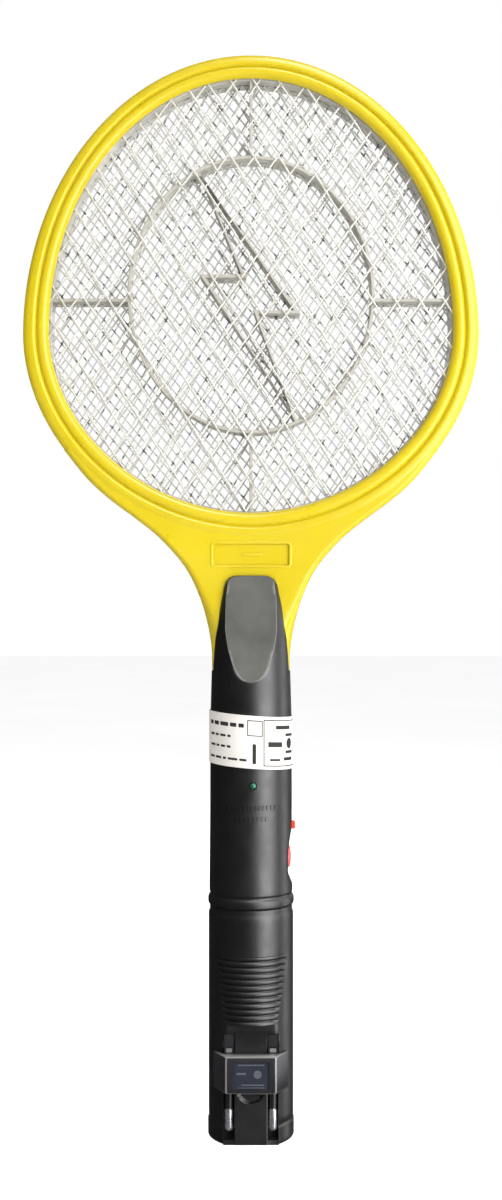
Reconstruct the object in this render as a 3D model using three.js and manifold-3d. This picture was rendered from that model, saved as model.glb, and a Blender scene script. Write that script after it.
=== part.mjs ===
// Electric fly swatter: an oval racket head with three wire meshes, a round handle that holds the
// high-voltage circuit, and a lower housing with a battery and a plug that slides out of its end.
//
// Millimetres. +Z runs up the racket from the handle's end to the head, -Y is the front face and
// +X is the side with the two red controls. The origin is on the handle's axis at its end face.

import * as THREE from "three";
import { mergeVertices } from "three/addons/utils/BufferGeometryUtils.js";
import Module from "manifold-3d";

const wasm = await Module();
wasm.setup();

// ---------------------------------------------------------------- driving dimensions

const GAP = 0.3; // clearance between pieces that touch
const WALL = 2.3; // moulded wall of the handle
const SEAM = 0.15; // each half stops this far from the parting plane y = 0

// Head: an egg-shaped opening, wider below its widest line than above it
const HEAD = { halfWidth: 88, widestZ: 351.7, rise: 110.1, drop: 79, lowerPower: 1.93, segments: 48 };
const RIM = { width: 11.3, taper: 1.3, halfDepth: 10.3, grooveAt: 5.3, grooveDepth: 1.1 };
const POCKET = { reach: 3.2, halfDepth: 7.1 }; // seat of the meshes behind the rim's lips
const RIM_CHANNEL = { from: 4.9, to: 9.8, halfDepth: 8 };
const MESH = { reach: 2.7, thickness: 0.25, outerY: 6.6 };
const SPACER = { from: 0.5, to: 6.1, bar: 1.4, hoopFrom: -0.9, hoopTo: 1.3 };
const SPACER_RING = { z: 368, halfWidth: 53.3, rise: 60, spokeZ: 365.5 };

const BOLT = [[-21.8, 420.2], [20.1, 360.4], [2.2, 360.4], [17.9, 316.3], [-21, 376.1], [-3.1, 376.1]];

// Neck: half-width of the yellow outline at heights along it, and the tongue inside the handle
const NECK = { bottom: 204, top: 300, cavityTop: 259.5, wall: 2.4 };
const NECK_OUTLINE = [
  [204, 17.1], [214, 17.4], [224.5, 19.1], [236, 22.4], [248.5, 28.5],
  [261, 39.2], [270, 50.2], [278, 61], [287, 71], [300, 81.6],
];
const TONGUE = { halfWidth: 11, halfDepth: 7.8, bottom: 186 };
const BADGE = { z: 254.3, width: 33, height: 9.2, depth: 0.7 };

// Handle: two shells with an arched cap over the neck, cut by a sloping thumb rest
const HANDLE = { bottom: 101.5, top: 245.2, segments: 32 };
const HANDLE_PROFILE = [ // [radius, z] up the handle, with a ridge at its foot
  [18.8, 101.5], [18.8, 105], [17.9, 106.4], [18.3, 107.6], [18, 146], [17.8, 186], [17.3, 204],
  [17.5, 222], [16.7, 235], [15.4, 245.2],
];
const CAP = { halfWidth: 12, shoulderZ: 238, corner: 6.5, flare: 17, bulgeZ: 220, footZ: 194 };
// [y, z] down the thumb rest's hollowed slope
const THUMB_REST = [[18.2, 197], [16.2, 203], [15.1, 209], [13.8, 219], [12.4, 240], [12.1, 246]];
const LABEL = { z: 173.7, height: 22.7, slope: -0.075, inset: 0.3, thickness: 0.25, radius: 18 };
const LED = { x: 0.9, z: 154.8, radius: 1.5 };
const BUTTON = { z: 122, radius: 5.5, face: 17.6, flange: 6.7, back: 12.6 };
const SPRING = { from: 8.7, to: 12, radius: 2.3, wire: 0.25, turns: 3, steps: 27 };
const KNOB = { z: 135.8, height: 3.7, depth: 2.8, face: 19.5, travel: 4 };
const SCOOP = { floorX: 16.2, top: 136, floorTop: 123, floorBottom: 117, bottom: 110.5 };

// Lower housing: battery, charger and the sliding plug in two open channels
const LOWER = { radius: 18.6, footRadius: 18.9, top: 101.2, grooveZ: 8.2, floor: 2 };
const RIBS = { count: 11, pitch: 2.57, lowest: 53.7, depth: 0.8, halfAngle: 47 };
const FLAT = { y: 15.2, top: 52.2, innerY: 13 };
const CHANNEL = {
  x: 9.5, width: 4.6, railWidth: 5.6, railFront: 12.3, floorY: 9.9, top: 47.8, lipTop: 1.6, lipY: 14.5,
};
const PLUG = { bottom: 23.9, top: 39.6, faceY: 21, faceX: 10.65, sideX: 16.2, sideY: 12 };
const PIN = { x: 9.5, y: 12.2, radius: 2, core: 1.3, tip: 5.3, metalTop: 14.9, sleeveRadius: 1.95 };
const LEG = { halfWidth: 2, flangeHalfWidth: 2.5, frontY: 15.6, shortFrontY: 14.6, backY: 10.2 };
const PANEL = { halfWidth: 7.6, depth: 0.6, from: 25.6, to: 37.4 };
const CONTACT = { halfWidth: 1.3, frontY: 15.1, backY: 14.9, from: 39.9, to: 41.7 };
const LEAF = { halfWidth: 2, frontY: 7.3, backY: 6.9, from: 12, to: 32 };
const NUB = { halfWidth: 0.7, frontY: 9.6, backY: 7.1, from: 17.4, to: 20.6 };
const END_CAP = { radius: 12, flatY: 7 };
const FINGER_HOLLOW = { radius: 5.7, depth: 1, z: 23.5 };
const SPIGOT = { inner: 13.4, outer: 15.6, from: 96, to: 108 };

// Box-shaped pieces of the circuit: material, then [x0, x1, y0, y1, z0, z1]
const CIRCUIT = {
  power_switch: ["steel", [6.4, 12.5, -3.2, 2.2, 130.4, 145]],
  main_board: ["board", [-8.8, 9, 3, 4.6, 110, 183]],
  step_up_transformer: ["film", [-6.5, 6.5, -9, 2.6, 160, 173]],
  hv_capacitor: ["film", [-8, 2.6, -6.5, 2.6, 112, 127.5]],
  switching_transistor: ["part", [-7, -1, -2, 2.6, 146, 152]],
  charger_board: ["board", [-9, 9, -4.5, -3, 8, 47]],
  dropper_capacitor: ["film", [-7, 7, -2.6, 4, 14, 29]],
  battery: ["cell", [-10, 10, -9.6, 9.6, 55, 95]],
};
const ZAP_SWITCH = { body: [3.4, 8, -3, 3, BUTTON.z - 3, BUTTON.z + 3], stem: 1.7, stemLength: 3.3 };

// Insulated leads: radius, then the points [x, y, z] along each one
const LEADS = {
  outer_mesh_lead: [0.7, [[-2, -1, 268.5], [-2, -0.6, 240], [-2, 0.5, 200], [-2, 2, 184.5]]],
  centre_mesh_lead: [0.7, [[2, 1, 268.5], [2, 0.8, 240], [2, 1.2, 200], [2, 3, 184.5]]],
  battery_lead: [0.8, [[0, 5, 95.4], [0.5, 6, 102], [-0.5, 6.2, 106], [0, 5.6, 112]]],
};

// Screws: [x, z] of each one, all driven from the rear
const RIM_SCREW_ANGLES = [18, 54, 126, 162, 214, 326];
const RIM_SCREW_REACH = 7;
const HANDLE_SCREWS = [[-12, 176], [12, 176], [-12, 112], [12, 112]];
const NECK_SCREWS = [[-6, 195], [6, 195]];
const LOWER_SCREWS = [[-12.6, 52], [12.6, 52]];
const BOSS_RADIUS = 2.7;
const SCREW = { shank: 1.1, head: 2.1, headHeight: 1.4, hole: 1.4, counterbore: 2.5 };

// ---------------------------------------------------------------- materials

const plastic = (color, roughness) => new THREE.MeshStandardMaterial({ color, roughness, metalness: 0 });
const metal = (color, roughness) => new THREE.MeshStandardMaterial({ color, roughness, metalness: 1 });
const MATERIAL = {
  yellow: plastic(0xf7dc28, 0.35),
  black: plastic(0x2b2e30, 0.5),
  spacer: plastic(0xb4b2a4, 0.55),
  red: plastic(0xd8323a, 0.35),
  label: plastic(0xe4ddd2, 0.7),
  green: plastic(0x1d6b45, 0.15),
  board: plastic(0x1f6a3c, 0.5),
  part: plastic(0x2b2b2b, 0.5),
  film: plastic(0x8f3a22, 0.4),
  cell: plastic(0x3c5fa0, 0.4),
  lead: plastic(0xb02020, 0.5),
  wire: metal(0xd4d6d8, 0.35),
  steel: metal(0xb9bcc0, 0.35),
  chrome: metal(0xe6e8ea, 0.12),
  copper: metal(0xc98b4a, 0.4),
};

// ---------------------------------------------------------------- solids

// A closed three.js geometry as a manifold solid, turned the right way out.
function solid(geometry) {
  const bare = geometry.index ? geometry.toNonIndexed() : geometry.clone();
  for (const name of Object.keys(bare.attributes)) if (name !== "position") bare.deleteAttribute(name);
  const merged = mergeVertices(bare, 1e-4);
  const vertProperties = merged.attributes.position.array;
  const build = (triVerts) => new wasm.Manifold(new wasm.Mesh({ numProp: 3, vertProperties, triVerts }));
  const made = build(new Uint32Array(merged.index.array));
  return made.volume() < 0 ? build(new Uint32Array(merged.index.array).reverse()) : made;
}

function geometryOf(shape) {
  const mesh = shape.getMesh();
  const geometry = new THREE.BufferGeometry();
  geometry.setAttribute("position", new THREE.BufferAttribute(mesh.vertProperties, 3));
  geometry.setIndex(new THREE.BufferAttribute(mesh.triVerts, 1));
  geometry.computeVertexNormals();
  return geometry;
}

const join = (...shapes) => shapes.flat().reduce((whole, shape) => whole.add(shape));
const cut = (whole, ...tools) => tools.flat().reduce((rest, tool) => rest.subtract(tool), whole);

function box(x0, x1, y0, y1, z0, z1) {
  const geometry = new THREE.BoxGeometry(x1 - x0, y1 - y0, z1 - z0);
  return solid(geometry.translate((x0 + x1) / 2, (y0 + y1) / 2, (z0 + z1) / 2));
}

// A plan outline in X and Y, from z0 up to z1.
function upright(points, z0, z1) {
  const outline = new THREE.Shape(points.map(([x, y]) => new THREE.Vector2(x, y)));
  const geometry = new THREE.ExtrudeGeometry(outline, { depth: z1 - z0, bevelEnabled: false });
  return solid(geometry.translate(0, 0, z0));
}

// A front-view outline in X and Z, from y0 back to y1.
function plate(points, y0, y1) {
  const outline = new THREE.Shape(points.map(([x, z]) => new THREE.Vector2(x, z)));
  const geometry = new THREE.ExtrudeGeometry(outline, { depth: y1 - y0, bevelEnabled: false });
  return solid(geometry.rotateX(Math.PI / 2).translate(0, y1, 0));
}

// A profile of [radius, z] pairs turned about the handle's axis.
function turned(profile, segments = HANDLE.segments) {
  const points = profile.map(([r, z]) => new THREE.Vector2(r, z));
  return solid(new THREE.LatheGeometry(points, segments).rotateX(Math.PI / 2));
}

// A rod of [radius, distance] pairs along the given axis from a start point.
function rod(profile, start, axis, segments = 12) {
  const points = profile.map(([r, d]) => new THREE.Vector2(r, d));
  const turn = new THREE.Quaternion().setFromUnitVectors(
    new THREE.Vector3(0, 1, 0),
    new THREE.Vector3(...axis),
  );
  const geometry = new THREE.LatheGeometry(points, segments).applyQuaternion(turn);
  return solid(geometry.translate(...start));
}

const cylinder = (radius, start, axis, length, segments = 10) =>
  rod([[0, 0], [radius, 0], [radius, length], [0, length]], start, axis, segments);

// A closed skin over rings of points, with flat ends.
function loft(rings) {
  const count = rings[0].length;
  const vertices = rings.flat();
  const faces = [];
  for (let ring = 0; ring < rings.length - 1; ring++)
    for (let i = 0; i < count; i++) {
      const a = ring * count + i;
      const b = ring * count + ((i + 1) % count);
      faces.push(a, b, a + count, b, b + count, a + count);
    }
  const last = (rings.length - 1) * count;
  for (let i = 1; i < count - 1; i++) {
    faces.push(0, i + 1, i);
    faces.push(last, last + i, last + i + 1);
  }
  const geometry = new THREE.BufferGeometry().setFromPoints(vertices);
  return solid(geometry.setIndex(faces));
}

// ---------------------------------------------------------------- the head's oval

// The opening's edge at an angle from +X, and the outward direction there. Above its widest line it
// is half an ellipse, and below it half a slightly slimmer superellipse.
function ovalAt(angle) {
  const above = Math.sin(angle) > 0;
  const height = above ? HEAD.rise : HEAD.drop;
  const power = above ? 2 : HEAD.lowerPower;
  const raise = (value, exponent) => Math.sign(value) * Math.abs(value) ** exponent;
  const across = raise(Math.cos(angle), 2 / power);
  const up = raise(Math.sin(angle), 2 / power);
  const edge = new THREE.Vector2(HEAD.halfWidth * across, HEAD.widestZ + height * up);
  const outward = new THREE.Vector2(
    raise(across, power - 1) / HEAD.halfWidth,
    raise(up, power - 1) / height,
  );
  return { edge, outward: outward.normalize() };
}

// The rim is slimmer at the top of the head and wider at the bottom.
const rimStretch = (angle) => 1 - (RIM.taper / RIM.width) * Math.sin(angle);

function ovalOutline(reach) {
  const points = [];
  for (let i = 0; i < HEAD.segments; i++) {
    const { edge, outward } = ovalAt((i / HEAD.segments) * 2 * Math.PI);
    points.push([edge.x + outward.x * reach, edge.y + outward.y * reach]);
  }
  return points;
}

// A section of [reach, y] corners carried round the oval, stretched with the rim.
function hoop(section) {
  const count = section.length;
  const vertices = [];
  const faces = [];
  for (let i = 0; i < HEAD.segments; i++) {
    const angle = (i / HEAD.segments) * 2 * Math.PI;
    const { edge, outward } = ovalAt(angle);
    for (const [reach, y] of section) {
      const out = reach * rimStretch(angle);
      vertices.push(new THREE.Vector3(edge.x + outward.x * out, y, edge.y + outward.y * out));
    }
    for (let j = 0; j < count; j++) {
      const next = ((i + 1) % HEAD.segments) * count;
      const a = i * count + j;
      const b = i * count + ((j + 1) % count);
      faces.push(a, b, next + j, b, next + ((j + 1) % count), next + j);
    }
  }
  const geometry = new THREE.BufferGeometry().setFromPoints(vertices);
  return solid(geometry.setIndex(faces));
}

const hoopBox = (from, to, halfDepth) =>
  hoop([[from, -halfDepth], [to, -halfDepth], [to, halfDepth], [from, halfDepth]]);

const frontHalf = box(-120, 120, -40, -SEAM, -10, 500);
const rearHalf = box(-120, 120, SEAM, 40, -10, 500);

// ---------------------------------------------------------------- head frame

// Two rounded beads with a groove between them, on the front and on the rear.
function rimSolid() {
  const { width, halfDepth, grooveAt, grooveDepth } = RIM;
  const face = [
    [0, POCKET.halfDepth],
    [1.2, halfDepth - 0.5],
    [grooveAt - 0.9, halfDepth],
    [grooveAt, halfDepth - grooveDepth],
    [grooveAt + 0.9, halfDepth],
    [width - 2, halfDepth - 0.4],
    [width, halfDepth - 2.8],
  ];
  const front = face.map(([reach, y]) => [reach, -y]);
  return hoop([...front, ...face.reverse()]);
}

const neckOutline = new THREE.SplineCurve(NECK_OUTLINE.map(([z, w]) => new THREE.Vector2(z, w)));

// The neck: round where it meets the handle, and flat on both faces as it widens into the rim.
function neckSolid(grow, halfDepth, bottom, top) {
  const rings = [];
  const steps = 9;
  const around = 24;
  for (let step = 0; step <= steps; step++) {
    const z = bottom + ((top - bottom) * step) / steps;
    const width = neckWidth(z) + grow;
    rings.push(
      Array.from({ length: around }, (_, i) => {
        const angle = (i / around) * 2 * Math.PI;
        const y = THREE.MathUtils.clamp(width * Math.sin(angle), -halfDepth, halfDepth);
        return new THREE.Vector3(width * Math.cos(angle), y, z);
      }),
    );
  }
  return loft(rings);
}

// Half-width of the neck at a height, read off the outline's spline.
function neckWidth(z) {
  let low = 0;
  let high = 1;
  for (let i = 0; i < 24; i++) {
    const middle = (low + high) / 2;
    if (neckOutline.getPoint(middle).x < z) low = middle;
    else high = middle;
  }
  return neckOutline.getPoint(low).y;
}

function rimScrewPlaces() {
  return RIM_SCREW_ANGLES.map((degrees) => {
    const { edge, outward } = ovalAt(THREE.MathUtils.degToRad(degrees));
    return [edge.x + outward.x * RIM_SCREW_REACH, edge.y + outward.y * RIM_SCREW_REACH];
  });
}

// Shank hole, and the wider hole that the head sits in at the rear.
function screwHole([x, z], frontY, headY) {
  return join(
    cylinder(SCREW.hole, [x, frontY, z], [0, 1, 0], 60),
    cylinder(SCREW.counterbore, [x, headY, z], [0, 1, 0], 30),
  );
}

function headFrame() {
  const posts = rimScrewPlaces().map(([x, z]) => cylinder(3.4, [x, -10, z], [0, 1, 0], 20));
  const channel = hoopBox(RIM_CHANNEL.from, RIM_CHANNEL.to, RIM_CHANNEL.halfDepth);
  const tongue = box(-TONGUE.halfWidth, TONGUE.halfWidth, -TONGUE.halfDepth, TONGUE.halfDepth,
    TONGUE.bottom, NECK.bottom + 1);
  const opening = plate(ovalOutline(0), -20, 20);
  const pocket = plate(ovalOutline(POCKET.reach), -POCKET.halfDepth, POCKET.halfDepth);
  const neck = neckSolid(0, RIM.halfDepth - 0.1, NECK.bottom, NECK.top);
  const cavity = neckSolid(-NECK.wall, RIM.halfDepth - NECK.wall, NECK.bottom + NECK.wall, NECK.cavityTop);
  const wireway = box(-4, 4, -3.4, 3.6, TONGUE.bottom - 1, HEAD.widestZ - HEAD.drop);
  const badge = box(-BADGE.width / 2, BADGE.width / 2, -20, -RIM.halfDepth + BADGE.depth,
    BADGE.z - BADGE.height / 2, BADGE.z + BADGE.height / 2);
  return cut(
    join(rimSolid(), neck, tongue),
    opening,
    pocket,
    cut(channel, posts),
    cavity,
    wireway,
    badge,
    rimScrewPlaces().map((place) => screwHole(place, -7.5, RIM.halfDepth - 2)),
    NECK_SCREWS.map(([x, z]) => cylinder(SCREW.hole, [x, -7, z], [0, 1, 0], 20)),
  );
}

// ---------------------------------------------------------------- meshes and spacers

const meshSheet = (y) => plate(ovalOutline(MESH.reach), y - MESH.thickness / 2, y + MESH.thickness / 2);

// A straight bar between two front-view points.
function bar([x0, z0], [x1, z1], y0, y1) {
  const along = new THREE.Vector2(x1 - x0, z1 - z0).normalize();
  const half = SPACER.bar / 2;
  const [sx, sz] = [-along.y * half, along.x * half];
  const [ex, ez] = [along.x * half, along.y * half];
  return plate([
    [x0 - ex + sx, z0 - ez + sz], [x0 - ex - sx, z0 - ez - sz],
    [x1 + ex - sx, z1 + ez - sz], [x1 + ex + sx, z1 + ez + sz],
  ], y0, y1);
}

// An upright oval ring of bar width, centred on the head.
function ovalRing(y0, y1) {
  const { z, halfWidth, rise } = SPACER_RING;
  const outline = (half) => Array.from({ length: 32 }, (_, i) => {
    const angle = (i / 32) * 2 * Math.PI;
    return [(halfWidth + half) * Math.cos(angle), z + (rise + half) * Math.sin(angle)];
  });
  const half = SPACER.bar / 2;
  return cut(plate(outline(half), y0, y1), plate(outline(-half), y0 - 1, y1 + 1));
}

// The grid that keeps two meshes apart: hoop, oval ring, four spokes and a lightning-bolt outline.
function spacer(y0, y1) {
  const { z, halfWidth, rise, spokeZ } = SPACER_RING;
  const inner = plate(ovalOutline(SPACER.hoopFrom), y0 - 1, y1 + 1);
  const hoopBar = cut(plate(ovalOutline(SPACER.hoopTo), y0, y1), inner);
  const ends = { side: HEAD.halfWidth - 1, top: HEAD.widestZ + HEAD.rise, bottom: HEAD.widestZ - HEAD.drop };
  return join(
    hoopBar,
    ovalRing(y0, y1),
    BOLT.map((corner, i) => bar(corner, BOLT[(i + 1) % BOLT.length], y0, y1)),
    bar([-ends.side, spokeZ], [-halfWidth, spokeZ], y0, y1),
    bar([halfWidth, spokeZ], [ends.side, spokeZ], y0, y1),
    bar([0, z + rise], [0, ends.top], y0, y1),
    bar([0, ends.bottom], [0, z - rise], y0, y1),
    bar(BOLT[0], [-26, 420.6], y0, y1),
    bar(BOLT[3], [20, 312.4], y0, y1),
  );
}

// ---------------------------------------------------------------- handle shells

function archOutline(inset) {
  const { halfWidth, shoulderZ, corner, flare, bulgeZ, footZ } = CAP;
  const arch = new THREE.Shape();
  const side = halfWidth - inset;
  const foot = flare - inset;
  const top = HANDLE.top - inset;
  const lean = 0.6; // how far the edge's control points lean in from its ends
  arch.moveTo(-foot, footZ);
  arch.quadraticCurveTo(-foot + lean, bulgeZ, -side, shoulderZ);
  arch.quadraticCurveTo(-side + lean, top, -side + corner, top);
  arch.lineTo(side - corner, top);
  arch.quadraticCurveTo(side - lean, top, side, shoulderZ);
  arch.quadraticCurveTo(foot - lean, bulgeZ, foot, footZ);
  return arch.getPoints(6).slice(0, -1).map((point) => [point.x, point.y]);
}

// The hollowed slope for the thumb, on the front and on the rear.
function thumbRest(inset, side) {
  const outline = new THREE.Shape([
    ...THUMB_REST.map(([y, z]) => new THREE.Vector2(y - inset, z)),
    new THREE.Vector2(30, HANDLE.top + 5),
    new THREE.Vector2(30, THUMB_REST[0][1]),
  ]);
  const geometry = new THREE.ExtrudeGeometry(outline, { depth: 60, bevelEnabled: false });
  geometry.rotateX(Math.PI / 2).rotateZ(side * Math.PI / 2);
  return solid(geometry.translate(side * -30, 0, 0));
}

// The handle's outside, or with an inset its inside.
function handleBody(inset) {
  const low = HANDLE.bottom - (inset ? 5 : 0);
  const top = HANDLE.top - inset;
  const side = HANDLE_PROFILE.map(([radius, z]) => [radius - inset, Math.min(z, top)]);
  const body = turned([[0, low], [side[0][0], low], ...side.slice(1), [0, top]]);
  const capRegion = join(
    box(-30, 30, -30, 30, 0, NECK.bottom - GAP),
    plate(archOutline(inset), -30, 30),
  );
  return cut(body.intersect(capRegion), thumbRest(inset, 1), thumbRest(inset, -1));
}

// The hollow in the handle's right side that the finger reaches the button through.
function scoopCut() {
  const { floorX, top, floorTop, floorBottom, bottom } = SCOOP;
  const outline = new THREE.Shape();
  outline.moveTo(30, bottom - 2);
  outline.lineTo(19.4, bottom - 1);
  outline.quadraticCurveTo(17.2, bottom, floorX, floorBottom);
  outline.lineTo(floorX, floorTop);
  outline.quadraticCurveTo(floorX + 0.6, top - 3, 18.6, top + 1);
  outline.lineTo(30, top + 2);
  return plate(outline.getPoints(5).map((point) => [point.x, point.y]), -20, 20);
}

const bossAt = ([x, z], y0, y1) => cylinder(BOSS_RADIUS, [x, y0, z], [0, 1, 0], y1 - y0);

function handleShells() {
  const outside = cut(handleBody(0), scoopCut());
  const scoopWall = box(SCOOP.floorX - WALL + 0.3, 30, -20, 20, SCOOP.bottom - 2, SCOOP.top + 1);
  const inside = cut(handleBody(WALL), scoopWall);
  const bosses = HANDLE_SCREWS.map((place) => bossAt(place, -17, 17));
  const neckBosses = NECK_SCREWS.map((place) => bossAt(place, TONGUE.halfDepth + GAP, 17));
  const outsideRound = turned([[0, 90], [17, 90], [17, 200], [0, 200]]);
  const posts = join(bosses, neckBosses).intersect(outsideRound);
  const neckRoom = neckSolid(GAP, RIM.halfDepth - 0.1 + GAP, NECK.bottom - GAP, NECK.top);
  const buttonHole = cylinder(BUTTON.radius + GAP, [0, 0, BUTTON.z], [1, 0, 0], 30, 16);
  const knobRoom = box(0, 30, -KNOB.depth / 2 - GAP, KNOB.depth / 2 + GAP,
    KNOB.z - KNOB.height / 2 - GAP, KNOB.z + KNOB.height / 2 + KNOB.travel + GAP);
  return cut(
    join(cut(outside, inside), posts),
    neckRoom,
    buttonHole,
    knobRoom,
    cylinder(LED.radius + GAP, [LED.x, -30, LED.z], [0, 1, 0], 20),
    HANDLE_SCREWS.map((place) => screwHole(place, -8, 8)),
    NECK_SCREWS.map((place) => screwHole(place, -6, 13)),
  );
}

// A tilted paper band round the handle: each end plane rises with x.
function wrapLabel() {
  const { z, height, slope, inset, thickness, radius } = LABEL;
  const steps = 32;
  const section = [
    [radius + inset - 0.15, -height / 2], [radius + inset + thickness - 0.15, -height / 2],
    [radius + inset + thickness - 0.15, height / 2], [radius + inset - 0.15, height / 2],
  ];
  const vertices = [];
  const faces = [];
  for (let i = 0; i < steps; i++) {
    const angle = (i / steps) * 2 * Math.PI;
    for (const [r, h] of section) {
      const x = r * Math.cos(angle);
      vertices.push(new THREE.Vector3(x, r * Math.sin(angle), z + h + slope * x));
    }
    for (let j = 0; j < 4; j++) {
      const next = ((i + 1) % steps) * 4;
      const a = i * 4 + j;
      const b = i * 4 + ((j + 1) % 4);
      faces.push(a, next + j, b, b, next + j, next + ((j + 1) % 4));
    }
  }
  return solid(new THREE.BufferGeometry().setFromPoints(vertices).setIndex(faces));
}

// ---------------------------------------------------------------- lower housing

function lowerOutside() {
  const { radius, footRadius, top, grooveZ } = LOWER;
  return turned([
    [0, 0],
    [footRadius - 0.8, 0],
    [footRadius, 0.8],
    [footRadius, grooveZ - 0.6],
    [radius - 0.4, grooveZ],
    [radius, grooveZ + 0.7],
    [radius, 97.5],
    [radius - 0.5, 99],
    [radius - 0.4, top],
    [0, top],
  ]);
}

function spigot() {
  const { inner, outer, from, to } = SPIGOT;
  return turned([[inner, from], [outer, from], [outer, to], [inner, to], [inner, from]]);
}

function gripRibs() {
  const reach = 25;
  const angle = THREE.MathUtils.degToRad(RIBS.halfAngle);
  const wedge = upright([[0, 0], [-reach * Math.sin(angle), -reach * Math.cos(angle)], [0, -reach * 1.2],
    [reach * Math.sin(angle), -reach * Math.cos(angle)]], 0, 100);
  const outer = LOWER.radius + 1;
  const inner = LOWER.radius - RIBS.depth;
  const grooves = [];
  for (let i = 0; i < RIBS.count; i++) {
    const z = RIBS.lowest + i * RIBS.pitch;
    grooves.push(turned([[inner, z], [outer, z - 1.9], [outer, z + 1.9], [inner, z]]));
  }
  return grooves.map((groove) => groove.intersect(wedge));
}

const mirrored = (make) => [make(1), make(-1)];

// A box given by its distances from the handle's centre plane, on one side of it.
const sideBox = (side, near, far, y0, y1, z0, z1) =>
  side > 0 ? box(near, far, y0, y1, z0, z1) : box(-far, -near, y0, y1, z0, z1);

// A box centred on a plug track, given by its distances in front of the parting plane.
const trackBox = (side, halfWidth, frontY, backY, z0, z1) =>
  sideBox(side, CHANNEL.x - halfWidth, CHANNEL.x + halfWidth, -frontY, -backY, z0, z1);

function plugChannel(side) {
  const { x, width, railWidth, railFront, floorY, top, lipTop, lipY } = CHANNEL;
  return join(
    sideBox(side, x - width / 2, x + width / 2, -30, -floorY, lipTop, top),
    sideBox(side, x - width / 2, x + width / 2, -lipY, -floorY, -1, top),
    sideBox(side, x - railWidth / 2, x + railWidth / 2, -railFront, -floorY, -1, top),
    sideBox(side, x - 1, x + 1, -floorY - 1, -7, 17, 21),
  );
}

function lowerShells() {
  const wallRadius = LOWER.radius - WALL;
  const hollow = cut(
    turned([[0, LOWER.floor], [wallRadius - 3, LOWER.floor], [wallRadius, 5], [wallRadius, 96.5],
      [SPIGOT.inner, 98], [SPIGOT.inner, 110], [0, 110]]),
    box(-30, 30, -30, -FLAT.innerY, 0, FLAT.top + 2.3),
    mirrored((side) => sideBox(side, 5.4, 14.2, -30, -7.7, 0, 50)),
  );
  const posts = join(LOWER_SCREWS.map((place) => bossAt(place, -14, 14)))
    .intersect(turned([[0, 40], [17, 40], [17, 60], [0, 60]]));
  const { radius, depth, z } = FINGER_HOLLOW;
  const scoop = cylinder(radius, [0, -FLAT.y - 5, z], [0, 1, 0], 5 + depth, 24);
  return cut(
    join(cut(join(lowerOutside(), spigot()), hollow), posts),
    box(-30, 30, -30, -FLAT.y, -1, FLAT.top),
    gripRibs(),
    mirrored(plugChannel),
    scoop,
    cylinder(END_CAP.radius + GAP, [0, 0, -1], [0, 0, 1], 4, 32)
      .intersect(box(-20, 20, -END_CAP.flatY, 20, -1, 5)),
    LOWER_SCREWS.map((place) => screwHole(place, -8, 9.5)),
  );
}

function endCap() {
  const disc = cylinder(END_CAP.radius, [0, 0, 0], [0, 0, 1], LOWER.floor - GAP, 32);
  return disc.intersect(box(-20, 20, -END_CAP.flatY + GAP, 20, -1, 5));
}

// ---------------------------------------------------------------- sliding plug

function plugCarriage() {
  const { bottom, top, faceY, faceX, sideX, sideY } = PLUG;
  const ride = LOWER.footRadius + 0.25; // the skirt clears the housing's widest part
  const plan = upright([[-faceX, -faceY], [faceX, -faceY], [sideX, -sideY], [sideX, -10.4],
    [-sideX, -10.4], [-sideX, -sideY]], bottom, top);
  const housing = cut(
    turned([[0, 0], [ride, 0], [ride, 60], [0, 60]]),
    box(-30, 30, -30, -FLAT.y - GAP, -1, 61),
  );
  const legs = mirrored((side) => join(
    trackBox(side, LEG.halfWidth, LEG.frontY, LEG.backY, bottom, top),
    trackBox(side, LEG.halfWidth, LEG.shortFrontY, LEG.backY, bottom, CHANNEL.top - GAP),
    trackBox(side, LEG.flangeHalfWidth, CHANNEL.railFront - GAP, LEG.backY, bottom, CHANNEL.top - GAP),
  ));
  const panel = box(-PANEL.halfWidth, PANEL.halfWidth, -faceY - 1, -faceY + PANEL.depth, PANEL.from, PANEL.to);
  const bores = mirrored((side) =>
    cylinder(PIN.core + GAP, [side * PIN.x, -PIN.y, bottom - 1], [0, 0, 1], 40));
  return cut(join(cut(plan, housing), legs), panel, bores);
}

// Rounded tip, full-width contact length and the thinner core that runs up through the carriage.
function plugPin(side) {
  const { tip, metalTop, radius, core } = PIN;
  return rod([[0, 0], [1.2, 0.2], [radius, 1.2], [radius, metalTop - tip], [core, metalTop - tip],
    [core, 41 - tip], [0, 41 - tip]], [side * PIN.x, -PIN.y, tip], [0, 0, 1], 12);
}

function pinSleeve(side) {
  const start = PIN.metalTop + GAP;
  const length = PLUG.bottom - GAP - start;
  const inner = PIN.core + GAP;
  return rod([[inner, 0], [PIN.sleeveRadius, 0], [PIN.sleeveRadius, length], [inner, length], [inner, 0]],
    [side * PIN.x, -PIN.y, start], [0, 0, 1], 12);
}

const trackPiece = (side, { halfWidth, frontY, backY, from, to }) =>
  trackBox(side, halfWidth, frontY, backY, from, to);

// A leaf behind the channel's floor with a nub that meets the pin when the plug is out.
const contactSpring = (side) => join(trackPiece(side, LEAF), trackPiece(side, NUB));

// ---------------------------------------------------------------- controls

function zapButton() {
  const { z, radius, face, flange, back } = BUTTON;
  return rod([[0, 0], [flange, 0], [flange, 1], [radius, 1], [radius, face - back - 0.7],
    [radius - 0.9, face - back - 0.2], [0, face - back]], [back, 0, z], [1, 0, 0], 16);
}

function powerKnob() {
  const { z, height, depth, face } = KNOB;
  const half = height / 2;
  return join(
    box(13.4, face, -depth / 2, depth / 2, z - half, z + half),
    box(12.9, 13.8, -2.4, 2.4, z - half - 1, z + half + 1),
  );
}

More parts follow.
